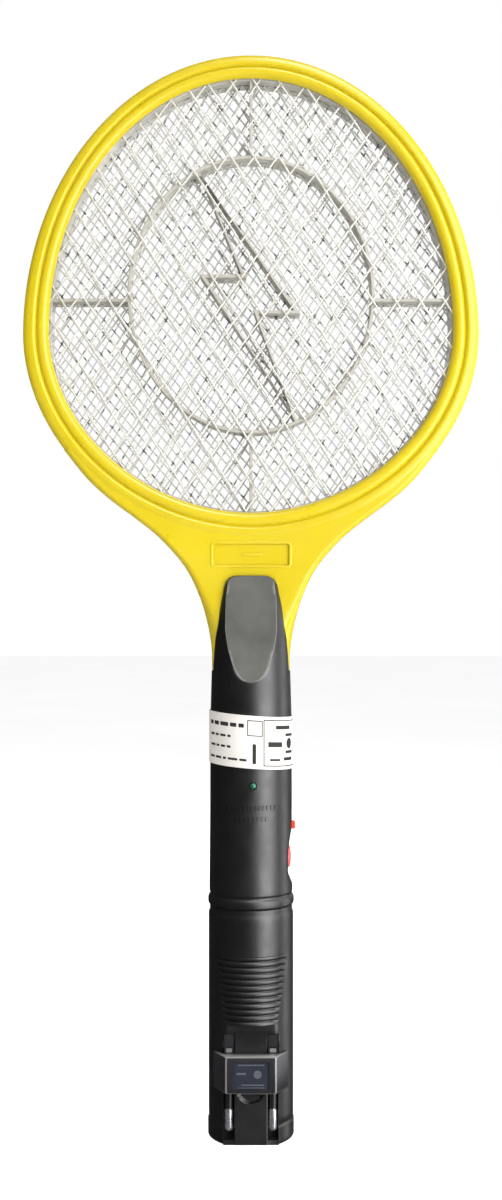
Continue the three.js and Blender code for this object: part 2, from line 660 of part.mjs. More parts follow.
// A helix of round wire about the button's axis.
function buttonSpring() {
  const { from, to, radius, turns, steps } = SPRING;
  const points = [];
  for (let i = 0; i <= steps; i++) {
    const turn = (i / steps) * turns * 2 * Math.PI;
    const x = from + ((to - from) * i) / steps;
    points.push(new THREE.Vector3(x, radius * Math.cos(turn), BUTTON.z + radius * Math.sin(turn)));
  }
  const wire = new THREE.Shape(Array.from({ length: 6 }, (_, i) =>
    new THREE.Vector2(SPRING.wire * Math.cos((i * Math.PI) / 3), SPRING.wire * Math.sin((i * Math.PI) / 3))));
  const path = new THREE.CatmullRomCurve3(points);
  return solid(new THREE.ExtrudeGeometry(wire, { steps, bevelEnabled: false, extrudePath: path }));
}

const powerLed = () => rod([[0, 0], [1.9, 0], [1.9, 1], [LED.radius, 1], [LED.radius, 4.2],
  [1.1, 5.2], [0.5, 5.6], [0, 5.7]], [LED.x, -13.4, LED.z], [0, -1, 0], 16);

// ---------------------------------------------------------------- circuit, battery and leads

// A round lead along a smooth path through the given points.
function lead(points, radius) {
  const path = new THREE.CatmullRomCurve3(points.map((point) => new THREE.Vector3(...point)));
  const section = new THREE.Shape(Array.from({ length: 8 }, (_, i) =>
    new THREE.Vector2(radius * Math.cos((i * Math.PI) / 4), radius * Math.sin((i * Math.PI) / 4))));
  return solid(new THREE.ExtrudeGeometry(section, { steps: 16, bevelEnabled: false, extrudePath: path }));
}

// ---------------------------------------------------------------- assembly

const group = new THREE.Group();
group.name = "electric_fly_swatter";

function add(name, shape, material) {
  const mesh = new THREE.Mesh(geometryOf(shape), MATERIAL[material]);
  mesh.name = name;
  group.add(mesh);
  return mesh;
}

const frame = headFrame();
add("head_frame_front", frame.intersect(frontHalf), "yellow");
add("head_frame_rear", frame.intersect(rearHalf), "yellow");
add("front_mesh", meshSheet(-MESH.outerY), "wire");
add("centre_mesh", meshSheet(0), "wire");
add("rear_mesh", meshSheet(MESH.outerY), "wire");
add("front_spacer", spacer(-SPACER.to, -SPACER.from), "spacer");
add("rear_spacer", spacer(SPACER.from, SPACER.to), "spacer");

const shells = handleShells();
add("handle_front_shell", shells.intersect(frontHalf), "black");
add("handle_rear_shell", shells.intersect(rearHalf), "black");
add("wrap_label", wrapLabel(), "label");

const housing = lowerShells();
add("lower_front_shell", housing.intersect(frontHalf), "black");
add("lower_rear_shell", housing.intersect(rearHalf), "black");
add("end_cap", endCap(), "black");

add("plug_carriage", plugCarriage(), "black");
for (const [side, label] of [[-1, "left"], [1, "right"]]) {
  add(`plug_pin_${label}`, plugPin(side), "chrome");
  add(`pin_sleeve_${label}`, pinSleeve(side), "part");
  add(`pin_contact_${label}`, trackPiece(side, CONTACT), "steel");
  add(`contact_spring_${label}`, contactSpring(side), "copper");
}

add("zap_button", zapButton(), "red");
add("button_spring", buttonSpring(), "steel");
add("zap_switch", join(box(...ZAP_SWITCH.body),
  cylinder(ZAP_SWITCH.stem, [ZAP_SWITCH.body[1] - 0.5, 0, BUTTON.z], [1, 0, 0], ZAP_SWITCH.stemLength)), "part");
add("power_switch_knob", powerKnob(), "red");
add("power_led", powerLed(), "green");

for (const [name, [material, extent]] of Object.entries(CIRCUIT)) add(name, box(...extent), material);
for (const [name, [radius, points]] of Object.entries(LEADS)) add(name, lead(points, radius), "lead");

// Pan-head screw with its shank towards -Y, head against the seat at y.
function addScrew(name, [x, z], seatY, length) {
  const { shank, head, headHeight } = SCREW;
  const screw = new THREE.Mesh(
    new THREE.LatheGeometry([
      new THREE.Vector2(0, -length), new THREE.Vector2(shank * 0.5, -length),
      new THREE.Vector2(shank, -length + 1.2), new THREE.Vector2(shank, 0),
      new THREE.Vector2(head, 0), new THREE.Vector2(head * 0.8, headHeight), new THREE.Vector2(0, headHeight),
    ], 8),
    MATERIAL.steel,
  );
  screw.name = name;
  screw.position.set(x, seatY, z);
  group.add(screw);
}

rimScrewPlaces().forEach((place, i) => addScrew(`rim_screw_${i + 1}`, place, RIM.halfDepth - 2 + GAP, 13));
HANDLE_SCREWS.forEach((place, i) => addScrew(`handle_screw_${i + 1}`, place, 8 + GAP, 14));
NECK_SCREWS.forEach((place, i) => addScrew(`neck_screw_${i + 1}`, place, 13 + GAP, 16));
LOWER_SCREWS.forEach((place, i) => addScrew(`lower_screw_${i + 1}`, place, 9.5 + GAP, 14));

export default group;
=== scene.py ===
"""Looks of the electric fly swatter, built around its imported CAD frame.

Lengths in the tables below are millimetres. +Z runs up to the head, -Y is the front face and +X is
the side with the two red controls. Every piece is placed in the frame that the CAD nodes share.
"""

import math
import random

import bmesh
import bpy
import numpy as np
from mathutils import Matrix, Vector, noise


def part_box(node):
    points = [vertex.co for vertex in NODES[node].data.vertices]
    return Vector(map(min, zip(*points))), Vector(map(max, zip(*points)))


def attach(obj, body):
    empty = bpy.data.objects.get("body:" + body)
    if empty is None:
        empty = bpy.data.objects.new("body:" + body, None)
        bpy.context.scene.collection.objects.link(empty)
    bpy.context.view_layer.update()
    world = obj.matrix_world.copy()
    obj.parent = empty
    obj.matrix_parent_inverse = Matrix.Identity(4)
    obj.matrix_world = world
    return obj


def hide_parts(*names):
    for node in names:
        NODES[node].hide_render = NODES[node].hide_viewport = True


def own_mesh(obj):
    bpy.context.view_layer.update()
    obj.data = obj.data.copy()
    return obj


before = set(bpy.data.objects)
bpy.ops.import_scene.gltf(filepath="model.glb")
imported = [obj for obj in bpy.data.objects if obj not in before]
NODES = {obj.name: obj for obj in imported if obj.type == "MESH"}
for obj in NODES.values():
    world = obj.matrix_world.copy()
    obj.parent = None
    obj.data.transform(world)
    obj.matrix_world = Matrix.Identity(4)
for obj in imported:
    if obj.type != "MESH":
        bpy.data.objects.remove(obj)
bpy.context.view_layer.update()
MM = 0.001

# ---------------------------------------------------------------- dimensions shared with the CAD

HEAD = {"half_width": 88.0, "widest_z": 351.7, "rise": 110.1, "drop": 79.0, "lower_power": 1.93}
RIM = {"width": 11.3, "taper": 1.3, "screw_reach": 7.0}
PARTING = 0.1  # each half stops this far from the plane y = 0
MESH_REACH = 2.7
MESH_Y = 6.6
SPACER = {"near": 0.5, "far": 6.1, "bar": 1.4}
RING = {"z": 368.0, "half_width": 53.3, "rise": 60.0, "spoke_z": 365.5}
BOLT = [(-21.8, 420.2), (20.1, 360.4), (2.2, 360.4), (17.9, 316.3), (-21.0, 376.1), (-3.1, 376.1)]

NECK_OUTLINE = [
    (204, 17.1), (214, 17.4), (224.5, 19.1), (236, 22.4), (248.5, 28.5),
    (261, 39.2), (270, 50.2), (278, 61.0), (287, 71.0), (300, 81.6),
]
NECK_FACE = 9.9
NECK_EDGE = {"across": 3.2, "deep": 3.6}  # the rounded edge of the neck's flat plate
NECK_BLEND = {"from": 213, "span": 26}  # where the neck turns from a round bar into the plate
NECK_ROUNDING = 4.4  # width of the plate's side strip with the close spacing of points
NECK_CAVITY = {"bottom": 206.4, "top": 259.5, "wall": 2.4}
TONGUE = {"half_width": 11.0, "half_depth": 7.8, "bottom": 186.0}
BADGE = {"z": 254.3, "width": 33.0, "height": 9.2, "depth": 0.7, "border": 1.2, "bar": (8.6, 1.4)}

HANDLE_PROFILE = [
    (101.5, 18.35), (101.8, 18.7), (102.6, 18.88), (104.4, 18.85), (105.2, 18.6), (105.9, 18.0),
    (106.5, 17.92), (107.2, 18.28), (108.5, 18.3), (146, 18.0), (186, 17.8), (204, 17.3),
    (222, 17.5), (235, 16.7), (245.2, 15.4),
]
SHOULDER_Z = 203.7  # the round handle ends here and only the arched cap goes on up
CAP = {"half_width": 12.0, "shoulder_z": 238.0, "corner": 6.5, "foot": 17.0, "foot_z": 194.0,
       "flare_z": 220.0, "top": 245.2, "round": 0.7}
# The thumb rest's slope as (distance from the parting plane, z).
THUMB_REST = [(18.2, 197), (16.2, 203), (15.1, 209), (13.8, 219), (12.4, 240), (12.1, 246)]
WALL = 2.3
SCOOP = {"x": 16.2, "bottom": 109.5, "floor_bottom": 117.0, "floor_top": 123.0, "top": 137.0}
BUTTON_Z = 122.0
BUTTON_HOLE = 5.8
SPRING = {"from": 8.7, "to": 12.2, "radius": 2.3, "wire": 0.25, "turns": 3, "steps": 72, "pressed_share": 0.6}
KNOB = {"z": 135.8, "height": 3.7, "depth": 2.8, "travel": 4.0}
LED = {"x": 0.9, "z": 154.8}
LABEL = {"z": 173.7, "height": 22.7, "slope": -0.075, "radius": 18.15}

LOWER = {"radius": 18.6, "foot_radius": 18.9, "top": 101.2, "floor": 2.0}
SPIGOT = {"root": 18.1, "radius": 15.6, "bore": 13.4, "top": 107.5}  # the neck that plugs into the handle
FLAT = {"y": 15.2, "top": 52.2}
UPPER_DISH = {"z": 41, "half_height": 7.5, "depth": 1.3, "from": 36}
FINGER_HOLLOW = {"z": 23.5, "radius": 5.7, "depth": 1.0, "top": 24}
CHANNEL = {"near": 7.2, "far": 11.8, "floor_y": 9.9, "top": 47.8, "lip_top": 2.1, "lip_y": 14.5}
RAIL = {"near": 6.7, "far": 12.3, "front_y": 12.3}
RIBS = {"count": 11, "pitch": 2.57, "lowest": 53.7, "depth": 0.8}
PLUG = {"bottom": 23.9, "top": 39.6, "face_y": 21.0, "face_x": 10.65, "side_x": 16.2, "side_y": 12.0}
PANEL = {"width": 15.2, "height": 11.8, "depth": 0.6}
PIN = {"x": 9.5, "y": 12.2, "radius": 2.0, "tip": 5.3, "metal_top": 14.9, "sleeve_top": 23.6, "core": 1.3,
       "core_top": 41, "bore": 1.6}

RIM_SCREW_ANGLES = [18, 54, 126, 162, 214, 326]
HANDLE_SCREWS = [(-12, 176, 8.3), (12, 176, 8.3), (-12, 112, 8.3), (12, 112, 8.3),
                 (-6, 195, 13.3), (6, 195, 13.3)]  # (x, z, depth of the head's seat)
LOWER_SCREWS = [(-12.6, 52, 9.8), (12.6, 52, 9.8)]
SCREW_HEAD = 1.4

# ---------------------------------------------------------------- camera

camera_data = bpy.data.cameras.new("camera")
camera_data.sensor_width = 24.0
camera_data.lens = 29.0
camera = bpy.data.objects.new("camera", camera_data)
camera.location = (0.0, -0.639, 0.2346)
camera.rotation_euler = (math.pi / 2, 0.0, 0.0)
bpy.context.scene.collection.objects.link(camera)
bpy.context.scene.camera = camera
bpy.context.scene.view_settings.view_transform = "Standard"

# ---------------------------------------------------------------- mesh helpers


def link(name, mesh):
    obj = bpy.data.objects.new(name, mesh)
    bpy.context.scene.collection.objects.link(obj)
    return obj


def solid(name, points, faces):
    """A mesh object from points in millimetres, with doubled points merged and faces turned outwards."""
    mesh = bpy.data.meshes.new(name)
    mesh.from_pydata([Vector(p) * MM for p in points], [], faces)
    work = bmesh.new()
    work.from_mesh(mesh)
    bmesh.ops.remove_doubles(work, verts=work.verts, dist=1e-6)
    bmesh.ops.recalc_face_normals(work, faces=work.faces)
    work.to_mesh(mesh)
    work.free()
    return link(name, mesh)


def bake(obj):
    """Makes obj's modifiers part of its mesh."""
    graph = bpy.context.evaluated_depsgraph_get()
    mesh = bpy.data.meshes.new_from_object(obj.evaluated_get(graph))
    obj.modifiers.clear()
    obj.data = mesh


def combine(obj, tool, operation):
    """Joins a tool to obj with UNION, or cuts it out with DIFFERENCE."""
    modifier = obj.modifiers.new("combine", "BOOLEAN")
    modifier.operation = operation
    modifier.object = tool
    modifier.solver = "EXACT"
    bake(obj)
    bpy.data.objects.remove(tool)
    return obj


def cut(obj, *tools):
    for tool in tools:
        combine(obj, tool, "DIFFERENCE")
    return obj


def join(obj, *others):
    for other in others:
        combine(obj, other, "UNION")
    return obj


def bevel(obj, width, segments=3, angle=30):
    modifier = obj.modifiers.new("bevel", "BEVEL")
    modifier.width = width * MM
    modifier.segments = segments
    modifier.limit_method = "ANGLE"
    modifier.angle_limit = math.radians(angle)
    bake(obj)
    return obj


def finish(obj, material, body="racket", stands_for=(), angle=33):
    """Smooth shading, material, body and the CAD nodes that the piece stands for."""
    if material is not None:
        obj.data.materials.clear()
        obj.data.materials.append(material)
    obj.data.shade_smooth()
    obj.data.set_sharp_from_angle(angle=math.radians(angle))
    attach(obj, body)
    if stands_for:
        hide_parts(*stands_for)
    return obj


def loft(name, rings, closed=False):
    """A skin over rings of points; the ends are filled unless the last ring meets the first."""
    count = len(rings[0])
    faces = []
    last = len(rings) if closed else len(rings) - 1
    for row in range(last):
        upper = (row + 1) % len(rings)
        for i in range(count):
            j = (i + 1) % count
            faces.append((row * count + i, row * count + j, upper * count + j, upper * count + i))
    if not closed:
        faces.append(tuple(range(count)))
        faces.append(tuple(range((len(rings) - 1) * count, len(rings) * count)))
    return solid(name, [p for ring in rings for p in ring], faces)


def shell(name, rows):
    """A skin over rows of (outer points, inner points), with a strip closing each end."""
    count = len(rows[0][0])
    points = [p for outer, inner in rows for p in [*outer, *reversed(inner)]]
    ring = 2 * count
    faces = []
    for row in range(len(rows) - 1):
        for i in range(ring):
            a, b = row * ring + i, row * ring + (i + 1) % ring
            faces.append((a, b, b + ring, a + ring))
    for base in (0, (len(rows) - 1) * ring):
        for i in range(count - 1):
            faces.append((base + i, base + i + 1, base + ring - 2 - i, base + ring - 1 - i))
    return solid(name, points, faces)


def lathe(name, profile, origin=(0, 0, 0), axis="Z", steps=64):
    """A profile of (radius, distance) turned about an axis through the origin."""
    turn = {"Z": (0, 1, 2), "X": (1, 2, 0), "Y": (2, 0, 1)}[axis]
    rings = []
    for i in range(steps):
        angle = 2 * math.pi * i / steps
        ring = []
        for radius, distance in profile:
            local = (radius * math.cos(angle), radius * math.sin(angle), distance)
            point = [0, 0, 0]
            for k in range(3):
                point[turn[k]] = local[k]
            ring.append([point[k] + origin[k] for k in range(3)])
        rings.append(ring)
    return loft(name, rings, closed=True)


def curve(points, steps):
    """Points along a smooth curve through the given ones, with that many steps between each two."""
    given = [np.array(p, float) for p in points]
    given = [2 * given[0] - given[1], *given, 2 * given[-1] - given[-2]]
    made = []
    for a, b, c, d in zip(given, given[1:], given[2:], given[3:]):
        for i in range(steps):
            t = i / steps
            made.append(0.5 * (2 * b + (c - a) * t + (2 * a - 5 * b + 4 * c - d) * t * t
                               + (3 * b - 3 * c + d - a) * t ** 3))
    return [*made, given[-2]]


def rounded_rectangle(width, height, radius, steps=5):
    """Corner-rounded outline centred on the origin, anticlockwise."""
    points = []
    for corner in range(4):
        sx, sy = ((1, 1), (-1, 1), (-1, -1), (1, -1))[corner]
        for i in range(steps + 1):
            angle = math.pi / 2 * (corner + i / steps)
            points.append((sx * (width / 2 - radius) + radius * math.cos(angle),
                           sy * (height / 2 - radius) + radius * math.sin(angle)))
    return points


def prism(name, outline, low, high, axis="Y"):
    """A flat outline carried along an axis; on Y the outline is (x, z), on X it is (y, z)."""
    place = {"Y": lambda p, d: (p[0], d, p[1]), "X": lambda p, d: (d, p[0], p[1]),
             "Z": lambda p, d: (p[0], p[1], d)}[axis]
    return loft(name, [[place(p, d) for p in outline] for d in (low, high)])


def smooth_min(a, b, k):
    """The lower of two surfaces, with a rounded edge of about k where they cross."""
    h = max(0.0, min(1.0, 0.5 + 0.5 * (b - a) / k))
    return b + (a - b) * h - k * h * (1 - h)


def oval(angle, reach=0.0):
    """A point of the head's oval, moved outwards by reach.

    The oval is half an ellipse above its widest line and half a slimmer superellipse below it.
    """
    above = math.sin(angle) > 0
    height = HEAD["rise"] if above else HEAD["drop"]
    power = 2 if above else HEAD["lower_power"]
    across, up = (math.copysign(abs(f(angle)) ** (2 / power), f(angle)) for f in (math.cos, math.sin))
    edge = Vector((HEAD["half_width"] * across, HEAD["widest_z"] + height * up))
    outward = Vector((math.copysign(abs(across) ** (power - 1), across) / HEAD["half_width"],
                      math.copysign(abs(up) ** (power - 1), up) / height)).normalized()
    return edge + outward * reach


def rim_stretch(angle):
    """The rim is slimmer at the top of the head and wider at the bottom."""
    return 1 - RIM["taper"] / RIM["width"] * math.sin(angle)


def oval_outline(reach, steps=288):
    return [tuple(oval(2 * math.pi * i / steps, reach)) for i in range(steps)]

# ---------------------------------------------------------------- materials


class Nodes:
    """Short calls that build one material's node tree."""

    def __init__(self, name):
        self.material = bpy.data.materials.new(name)
        self.material.use_nodes = True
        self.tree = self.material.node_tree
        self.shader = self.tree.nodes["Principled BSDF"]
        self.position = self.add("ShaderNodeTexCoord").outputs["Object"]

    def add(self, kind, **settings):
        node = self.tree.nodes.new(kind)
        for key, value in settings.items():
            if hasattr(node, key):
                setattr(node, key, value)
            else:
                node.inputs[key].default_value = value
        return node

    def wire(self, source, target):
        self.tree.links.new(source, target)

    def set(self, **values):
        for key, value in values.items():
            self.shader.inputs[key.replace("_", " ")].default_value = value

    def noise(self, scale, detail=3.0, stretch=(1, 1, 1), seed=0.0):
        """Noise with its features in object space; scale is features in a metre."""
        mapping = self.add("ShaderNodeMapping", Scale=stretch, Location=(seed, seed * 1.7, seed * 0.6))
        self.wire(self.position, mapping.inputs["Vector"])
        texture = self.add("ShaderNodeTexNoise", Scale=scale, Detail=detail)
        self.wire(mapping.outputs["Vector"], texture.inputs["Vector"])
        return texture.outputs["Fac"]

    def ramp(self, source, stops):
        """A colour ramp of (position, colour) stops."""
        node = self.add("ShaderNodeValToRGB")
        elements = node.color_ramp.elements
        while len(elements) < len(stops):
            elements.new(0.5)
        for element, (position, colour) in zip(elements, stops):
            element.position = position
            element.color = (*colour, 1.0)
        self.wire(source, node.inputs["Fac"])
        return node.outputs["Color"]

    def spread(self, source, low, high):
        """Maps the middle of a noise onto the range from low to high."""
        node = self.add("ShaderNodeMapRange")
        for key, value in (("From Min", 0.3), ("From Max", 0.7), ("To Min", low), ("To Max", high)):
            node.inputs[key].default_value = value
        self.wire(source, node.inputs["Value"])
        return node.outputs["Result"]

    def over(self, below, above, factor):
        """One colour over another."""
        node = self.add("ShaderNodeMix", data_type="RGBA")
        self.wire(factor, node.inputs["Factor"])
        self.wire(below, node.inputs[6])
        self.wire(above, node.inputs[7])
        return node.outputs[2]

    def attribute(self, name):
        return self.add("ShaderNodeAttribute", attribute_name=name).outputs["Fac"]

    def colour(self, output):
        self.wire(output, self.shader.inputs["Base Color"])

    def roughness(self, output):
        self.wire(output, self.shader.inputs["Roughness"])

    def bumps(self, *layers):
        """Fine relief from (height, distance in millimetres) layers."""
        normal = None
        for height, distance in layers:
            bump = self.add("ShaderNodeBump", Strength=1.0, Distance=distance * MM)
            self.wire(height, bump.inputs["Height"])
            if normal is not None:
                self.wire(normal, bump.inputs["Normal"])
            normal = bump.outputs["Normal"]
        self.wire(normal, self.shader.inputs["Normal"])


def moulded(name, dark, light, rough, sheen_of=0.5, grain=0.012, highlight_and_wear=None):
    """Moulded plastic: slow colour drift, a fine grain, handling marks and, if a pale edge colour is given,
    pale edges along the edge attribute, which are painted highlight and partly wear.
    """
    m = Nodes(name)
    base = m.ramp(m.noise(45, 4), [(0.3, dark), (0.7, light)])
    # Pale edges: painted highlight where the edges catch the light, partly wear.
    if highlight_and_wear:
        base = m.over(base, m.ramp(m.noise(300, 2, seed=3), [(0.3, highlight_and_wear), (0.7, highlight_and_wear)]), m.attribute("edge"))
    m.colour(base)
    m.roughness(m.spread(m.noise(120, 5, seed=5), rough - 0.06, rough + 0.06))
    m.set(Specular_IOR_Level=sheen_of)
    m.bumps((m.noise(1700, 3), grain), (m.noise(160, 3, seed=9), grain * 0.6))
    return m.material


def yellow_plastic():
    m = Nodes("yellow_plastic")
    base = m.ramp(m.noise(30, 4), [(0.3, (0.53, 0.41, 0.004)), (0.7, (0.58, 0.45, 0.007))])
    m.colour(base)
    m.roughness(m.spread(m.noise(90, 5, seed=2), 0.27, 0.38))
    m.set(Subsurface_Weight=0.12, Subsurface_Scale=0.0015, Subsurface_Radius=(1.0, 0.75, 0.15),
          Coat_Weight=0.12, Coat_Roughness=0.25)
    m.bumps((m.noise(1900, 2), 0.006), (m.noise(110, 3, seed=4), 0.03))
    return m.material


def strand_metal_painted_shade(name, dark, light, rough):
    """Bright drawn wire broken by noise into darker patches, painted shade for the strands' shadowed sides.
    """
    m = Nodes(name)
    m.colour(m.ramp(m.noise(330, 2), [(0.36, dark), (0.43, light)]))
    m.roughness(m.spread(m.noise(700, 3, seed=7), rough - 0.08, rough + 0.1))
    m.set(Metallic=0.2, Specular_IOR_Level=0.6)
    m.bumps((m.noise(3000, 2), 0.01))
    return m.material


def polished(name, colour, rough, scratch=(1, 1, 0.06), metallic=1.0):
    """Plated or turned metal with fine marks along its length."""
    m = Nodes(name)
    low = tuple(c * 0.86 for c in colour)
    m.colour(m.ramp(m.noise(150, 4), [(0.3, low), (0.65, colour)]))
    m.roughness(m.spread(m.noise(1800, 4, stretch=scratch, seed=6), rough - 0.04, rough + 0.08))
    m.set(Metallic=metallic)
    m.bumps((m.noise(2500, 2, stretch=scratch), 0.006))
    return m.material


def red_plastic(name, dark, light):
    m = Nodes(name)
    m.colour(m.ramp(m.noise(140, 4), [(0.3, dark), (0.7, light)]))
    m.roughness(m.spread(m.noise(300, 4, seed=1), 0.2, 0.32))
    m.set(Subsurface_Weight=0.3, Subsurface_Scale=0.002, Subsurface_Radius=(1.0, 0.25, 0.2), Coat_Weight=0.3)
    m.bumps((m.noise(1500, 2), 0.008))
    return m.material


def label_paper():
    m = Nodes("label_paper")
    base = m.ramp(m.noise(60, 5), [(0.3, (0.62, 0.59, 0.55)), (0.7, (0.74, 0.71, 0.67))])
    fibre = m.ramp(m.noise(2400, 3, stretch=(1, 1, 0.3)),
                   [(0.2, (0.55, 0.52, 0.47)), (0.6, (0.70, 0.67, 0.63))])
    m.colour(m.over(base, fibre, m.spread(m.noise(500, 4), 0.1, 0.4)))
    m.roughness(m.spread(m.noise(400, 4, seed=2), 0.4, 0.58))
    m.bumps((m.noise(1500, 3), 0.012))
    return m.material


def led_plastic():
    m = Nodes("led_green")
    m.colour(m.ramp(m.noise(700, 2), [(0.3, (0.01, 0.10, 0.055)), (0.7, (0.03, 0.20, 0.11))]))
    m.roughness(m.spread(m.noise(900, 3), 0.04, 0.12))
    m.set(Transmission_Weight=0.35, IOR=1.5, Coat_Weight=0.6)
    return m.material


def circuit_board():
    m = Nodes("circuit_board")
    tracks = m.add("ShaderNodeTexBrick", Scale=260.0)
    m.wire(m.position, tracks.inputs["Vector"])
    tracks.inputs["Color1"].default_value = (0.012, 0.13, 0.045, 1)
    tracks.inputs["Color2"].default_value = (0.016, 0.16, 0.055, 1)
    tracks.inputs["Mortar"].default_value = (0.05, 0.26, 0.10, 1)
    m.colour(tracks.outputs["Color"])
    m.roughness(m.spread(m.noise(500, 3), 0.3, 0.5))
    m.bumps((tracks.outputs["Fac"], 0.03))
    return m.material


MATERIALS = {
    "yellow": yellow_plastic(),
    "black": moulded("black_plastic", (0.0022, 0.0022, 0.0022), (0.0040, 0.0042, 0.0042), 0.45, 1.0, 0.04,
                     highlight_and_wear=(0.30, 0.30, 0.29)),
    # The thumb rest's grey is painted sheen: the same black plastic drawn lighter for the light its upturned
    # face catches; its roughness is real.
    "thumb": moulded("thumb_rest_painted_sheen", (0.060, 0.060, 0.054), (0.125, 0.124, 0.112), 0.62, 0.4, 0.05,
                     highlight_and_wear=(0.42, 0.42, 0.40)),
    "carriage": moulded("carriage_plastic", (0.010, 0.010, 0.013), (0.016, 0.016, 0.020), 0.36, 0.9,
                        highlight_and_wear=(0.32, 0.32, 0.32)),
    "panel": moulded("panel_plastic", (0.014, 0.018, 0.030), (0.020, 0.025, 0.042), 0.42, 0.5, 0.02),
    # The raised marks are drawn lighter than the panel: painted highlight for the light they catch.
    "panel_mark": moulded("panel_mark_painted_highlight", (0.06, 0.065, 0.085), (0.09, 0.095, 0.12), 0.4, 0.6),
    "sleeve": moulded("sleeve_plastic", (0.008, 0.008, 0.009), (0.014, 0.014, 0.016), 0.3),
    "spacer": moulded("grey_plastic", (0.34, 0.325, 0.28), (0.42, 0.405, 0.355), 0.5),
    # The darker wire patches are painted shade; on the fine mesh they go almost black.
    "outer_wire": strand_metal_painted_shade("mesh_wire", (0.56, 0.55, 0.48), (0.70, 0.69, 0.635), 0.4),
    "inner_wire": strand_metal_painted_shade("fine_mesh_wire_painted_shade", (0.08, 0.08, 0.07), (0.60, 0.60, 0.59), 0.36),
    "red": red_plastic("red_plastic", (0.66, 0.05, 0.05), (0.78, 0.10, 0.10)),
    "orange": red_plastic("knob_plastic", (0.72, 0.035, 0.02), (0.84, 0.06, 0.03)),
    "label": label_paper(),
    "ink": moulded("label_ink", (0.02, 0.018, 0.018), (0.04, 0.038, 0.036), 0.6, 0.2),
    "led": led_plastic(),
    "board": circuit_board(),
    "component": moulded("component_black", (0.02, 0.02, 0.02), (0.035, 0.035, 0.035), 0.45),
    "copper": polished("transformer_copper", (0.78, 0.42, 0.20), 0.35, (1, 1, 8)),
    "film": moulded("capacitor_film", (0.30, 0.05, 0.02), (0.38, 0.075, 0.03), 0.3),
    "battery": moulded("battery_sleeve", (0.04, 0.10, 0.33), (0.055, 0.13, 0.40), 0.3),
    "lead": moulded("lead_insulation", (0.42, 0.012, 0.012), (0.52, 0.02, 0.02), 0.4),
    "steel": polished("screw_steel", (0.62, 0.63, 0.65), 0.3),
    "chrome": polished("plated_pin", (0.88, 0.88, 0.94), 0.25, metallic=0.92),
    "brass": polished("contact_brass", (0.80, 0.79, 0.74), 0.4),
}

INNER_NODES = {
    "main_board": "board", "charger_board": "board", "step_up_transformer": "copper",
    "hv_capacitor": "film", "dropper_capacitor": "film", "switching_transistor": "component",
    "zap_switch": "component", "power_switch": "steel", "battery": "battery",
    "outer_mesh_lead": "lead", "centre_mesh_lead": "lead", "battery_lead": "lead",
    "contact_spring_left": "brass", "contact_spring_right": "brass",
}
for node, finish_name in INNER_NODES.items():
    NODES[node].data.materials.clear()
    NODES[node].data.materials.append(MATERIALS[finish_name])

# ---------------------------------------------------------------- head frame


def neck_width(z):
    for a, b in zip(NECK_LINE, NECK_LINE[1:]):
        if a[0] <= z <= b[0]:
            return a[1] + (b[1] - a[1]) * (z - a[0]) / (b[0] - a[0])
    return NECK_LINE[-1][1]


NECK_LINE = [tuple(p) for p in curve(NECK_OUTLINE, 8)]


def neck_front(x, z):
    """Distance of the neck's front surface from the parting plane.

    Low down it follows a round bar, to lie under the handle's cap, and higher up it is a flat plate
    with rounded edges.
    """
    width = neck_width(max(z, NECK_OUTLINE[0][0]))
    inside = max(0.0, width - abs(x))
    bar = smooth_min(0.8 * math.sqrt(max(0.0, width * width - x * x)), NECK_FACE, 1.5)
    share = min(1.0, max(0.0, (z - NECK_BLEND["from"]) / NECK_BLEND["span"]))
    across, deep = NECK_EDGE["across"], NECK_EDGE["deep"]
    plate = NECK_FACE
    if inside < across:
        plate -= deep * (1 - math.sqrt(max(0.0, 1 - (1 - inside / across) ** 2)))
    share = share * share * (3 - 2 * share)
    return bar + (plate - bar) * share


def neck_plate(name):
    """Front half of the neck: a tapering plate with rounded edges and a hollow for the leads."""
    rows = []
    stations = np.concatenate([np.linspace(204, 262, 48), np.linspace(263.5, 300, 24)])
    for z in stations:
        width = neck_width(z)
        edge = [width - NECK_ROUNDING * (1 - math.cos(math.radians(9 * k))) for k in range(11)]
        middle = [u * (width - NECK_ROUNDING) for u in np.linspace(0.95, 0.05, 16)]
        half = [(width, PARTING), *[(x, max(PARTING, neck_front(x, z))) for x in (*edge, *middle)]]
        outer = [*half, *[(-x, y) for x, y in reversed(half)]]
        hollow = NECK_CAVITY["bottom"] < z < NECK_CAVITY["top"]
        shrink = (width - NECK_CAVITY["wall"]) / width
        inner = [(x * shrink, max(PARTING, y - NECK_CAVITY["wall"]) if hollow else PARTING)
                 for x, y in outer]
        rows.append(([(x, -y, z) for x, y in outer], [(x, -y, z) for x, y in inner]))
    return shell(name, rows)


def rim_half(name):
    """Front half of the oval rim: two rounded beads with a groove between them, and the meshes' seat."""
    face = curve([(0.0, 7.2), (0.25, 8.3), (1.1, 9.6), (2.5, 10.25), (3.9, 10.2), (4.75, 9.7), (5.3, 9.0),
                  (5.85, 9.7), (6.7, 10.28), (8.1, 10.15), (9.5, 9.7), (10.7, 8.7), (11.3, 7.2)], 3)
    seat = [(11.3, 0.5), (11.0, PARTING), (3.2, PARTING), (3.2, 7.1), (0.15, 7.1)]
    section = [*[tuple(p) for p in face], *seat]
    rings = []
    steps = 300
    for i in range(steps):
        angle = 2 * math.pi * i / steps
        places = [oval(angle, reach * rim_stretch(angle)) for reach, _ in section]
        rings.append([(place.x, -y, place.y) for place, (_, y) in zip(places, section)])
    return loft(name, rings, closed=True)


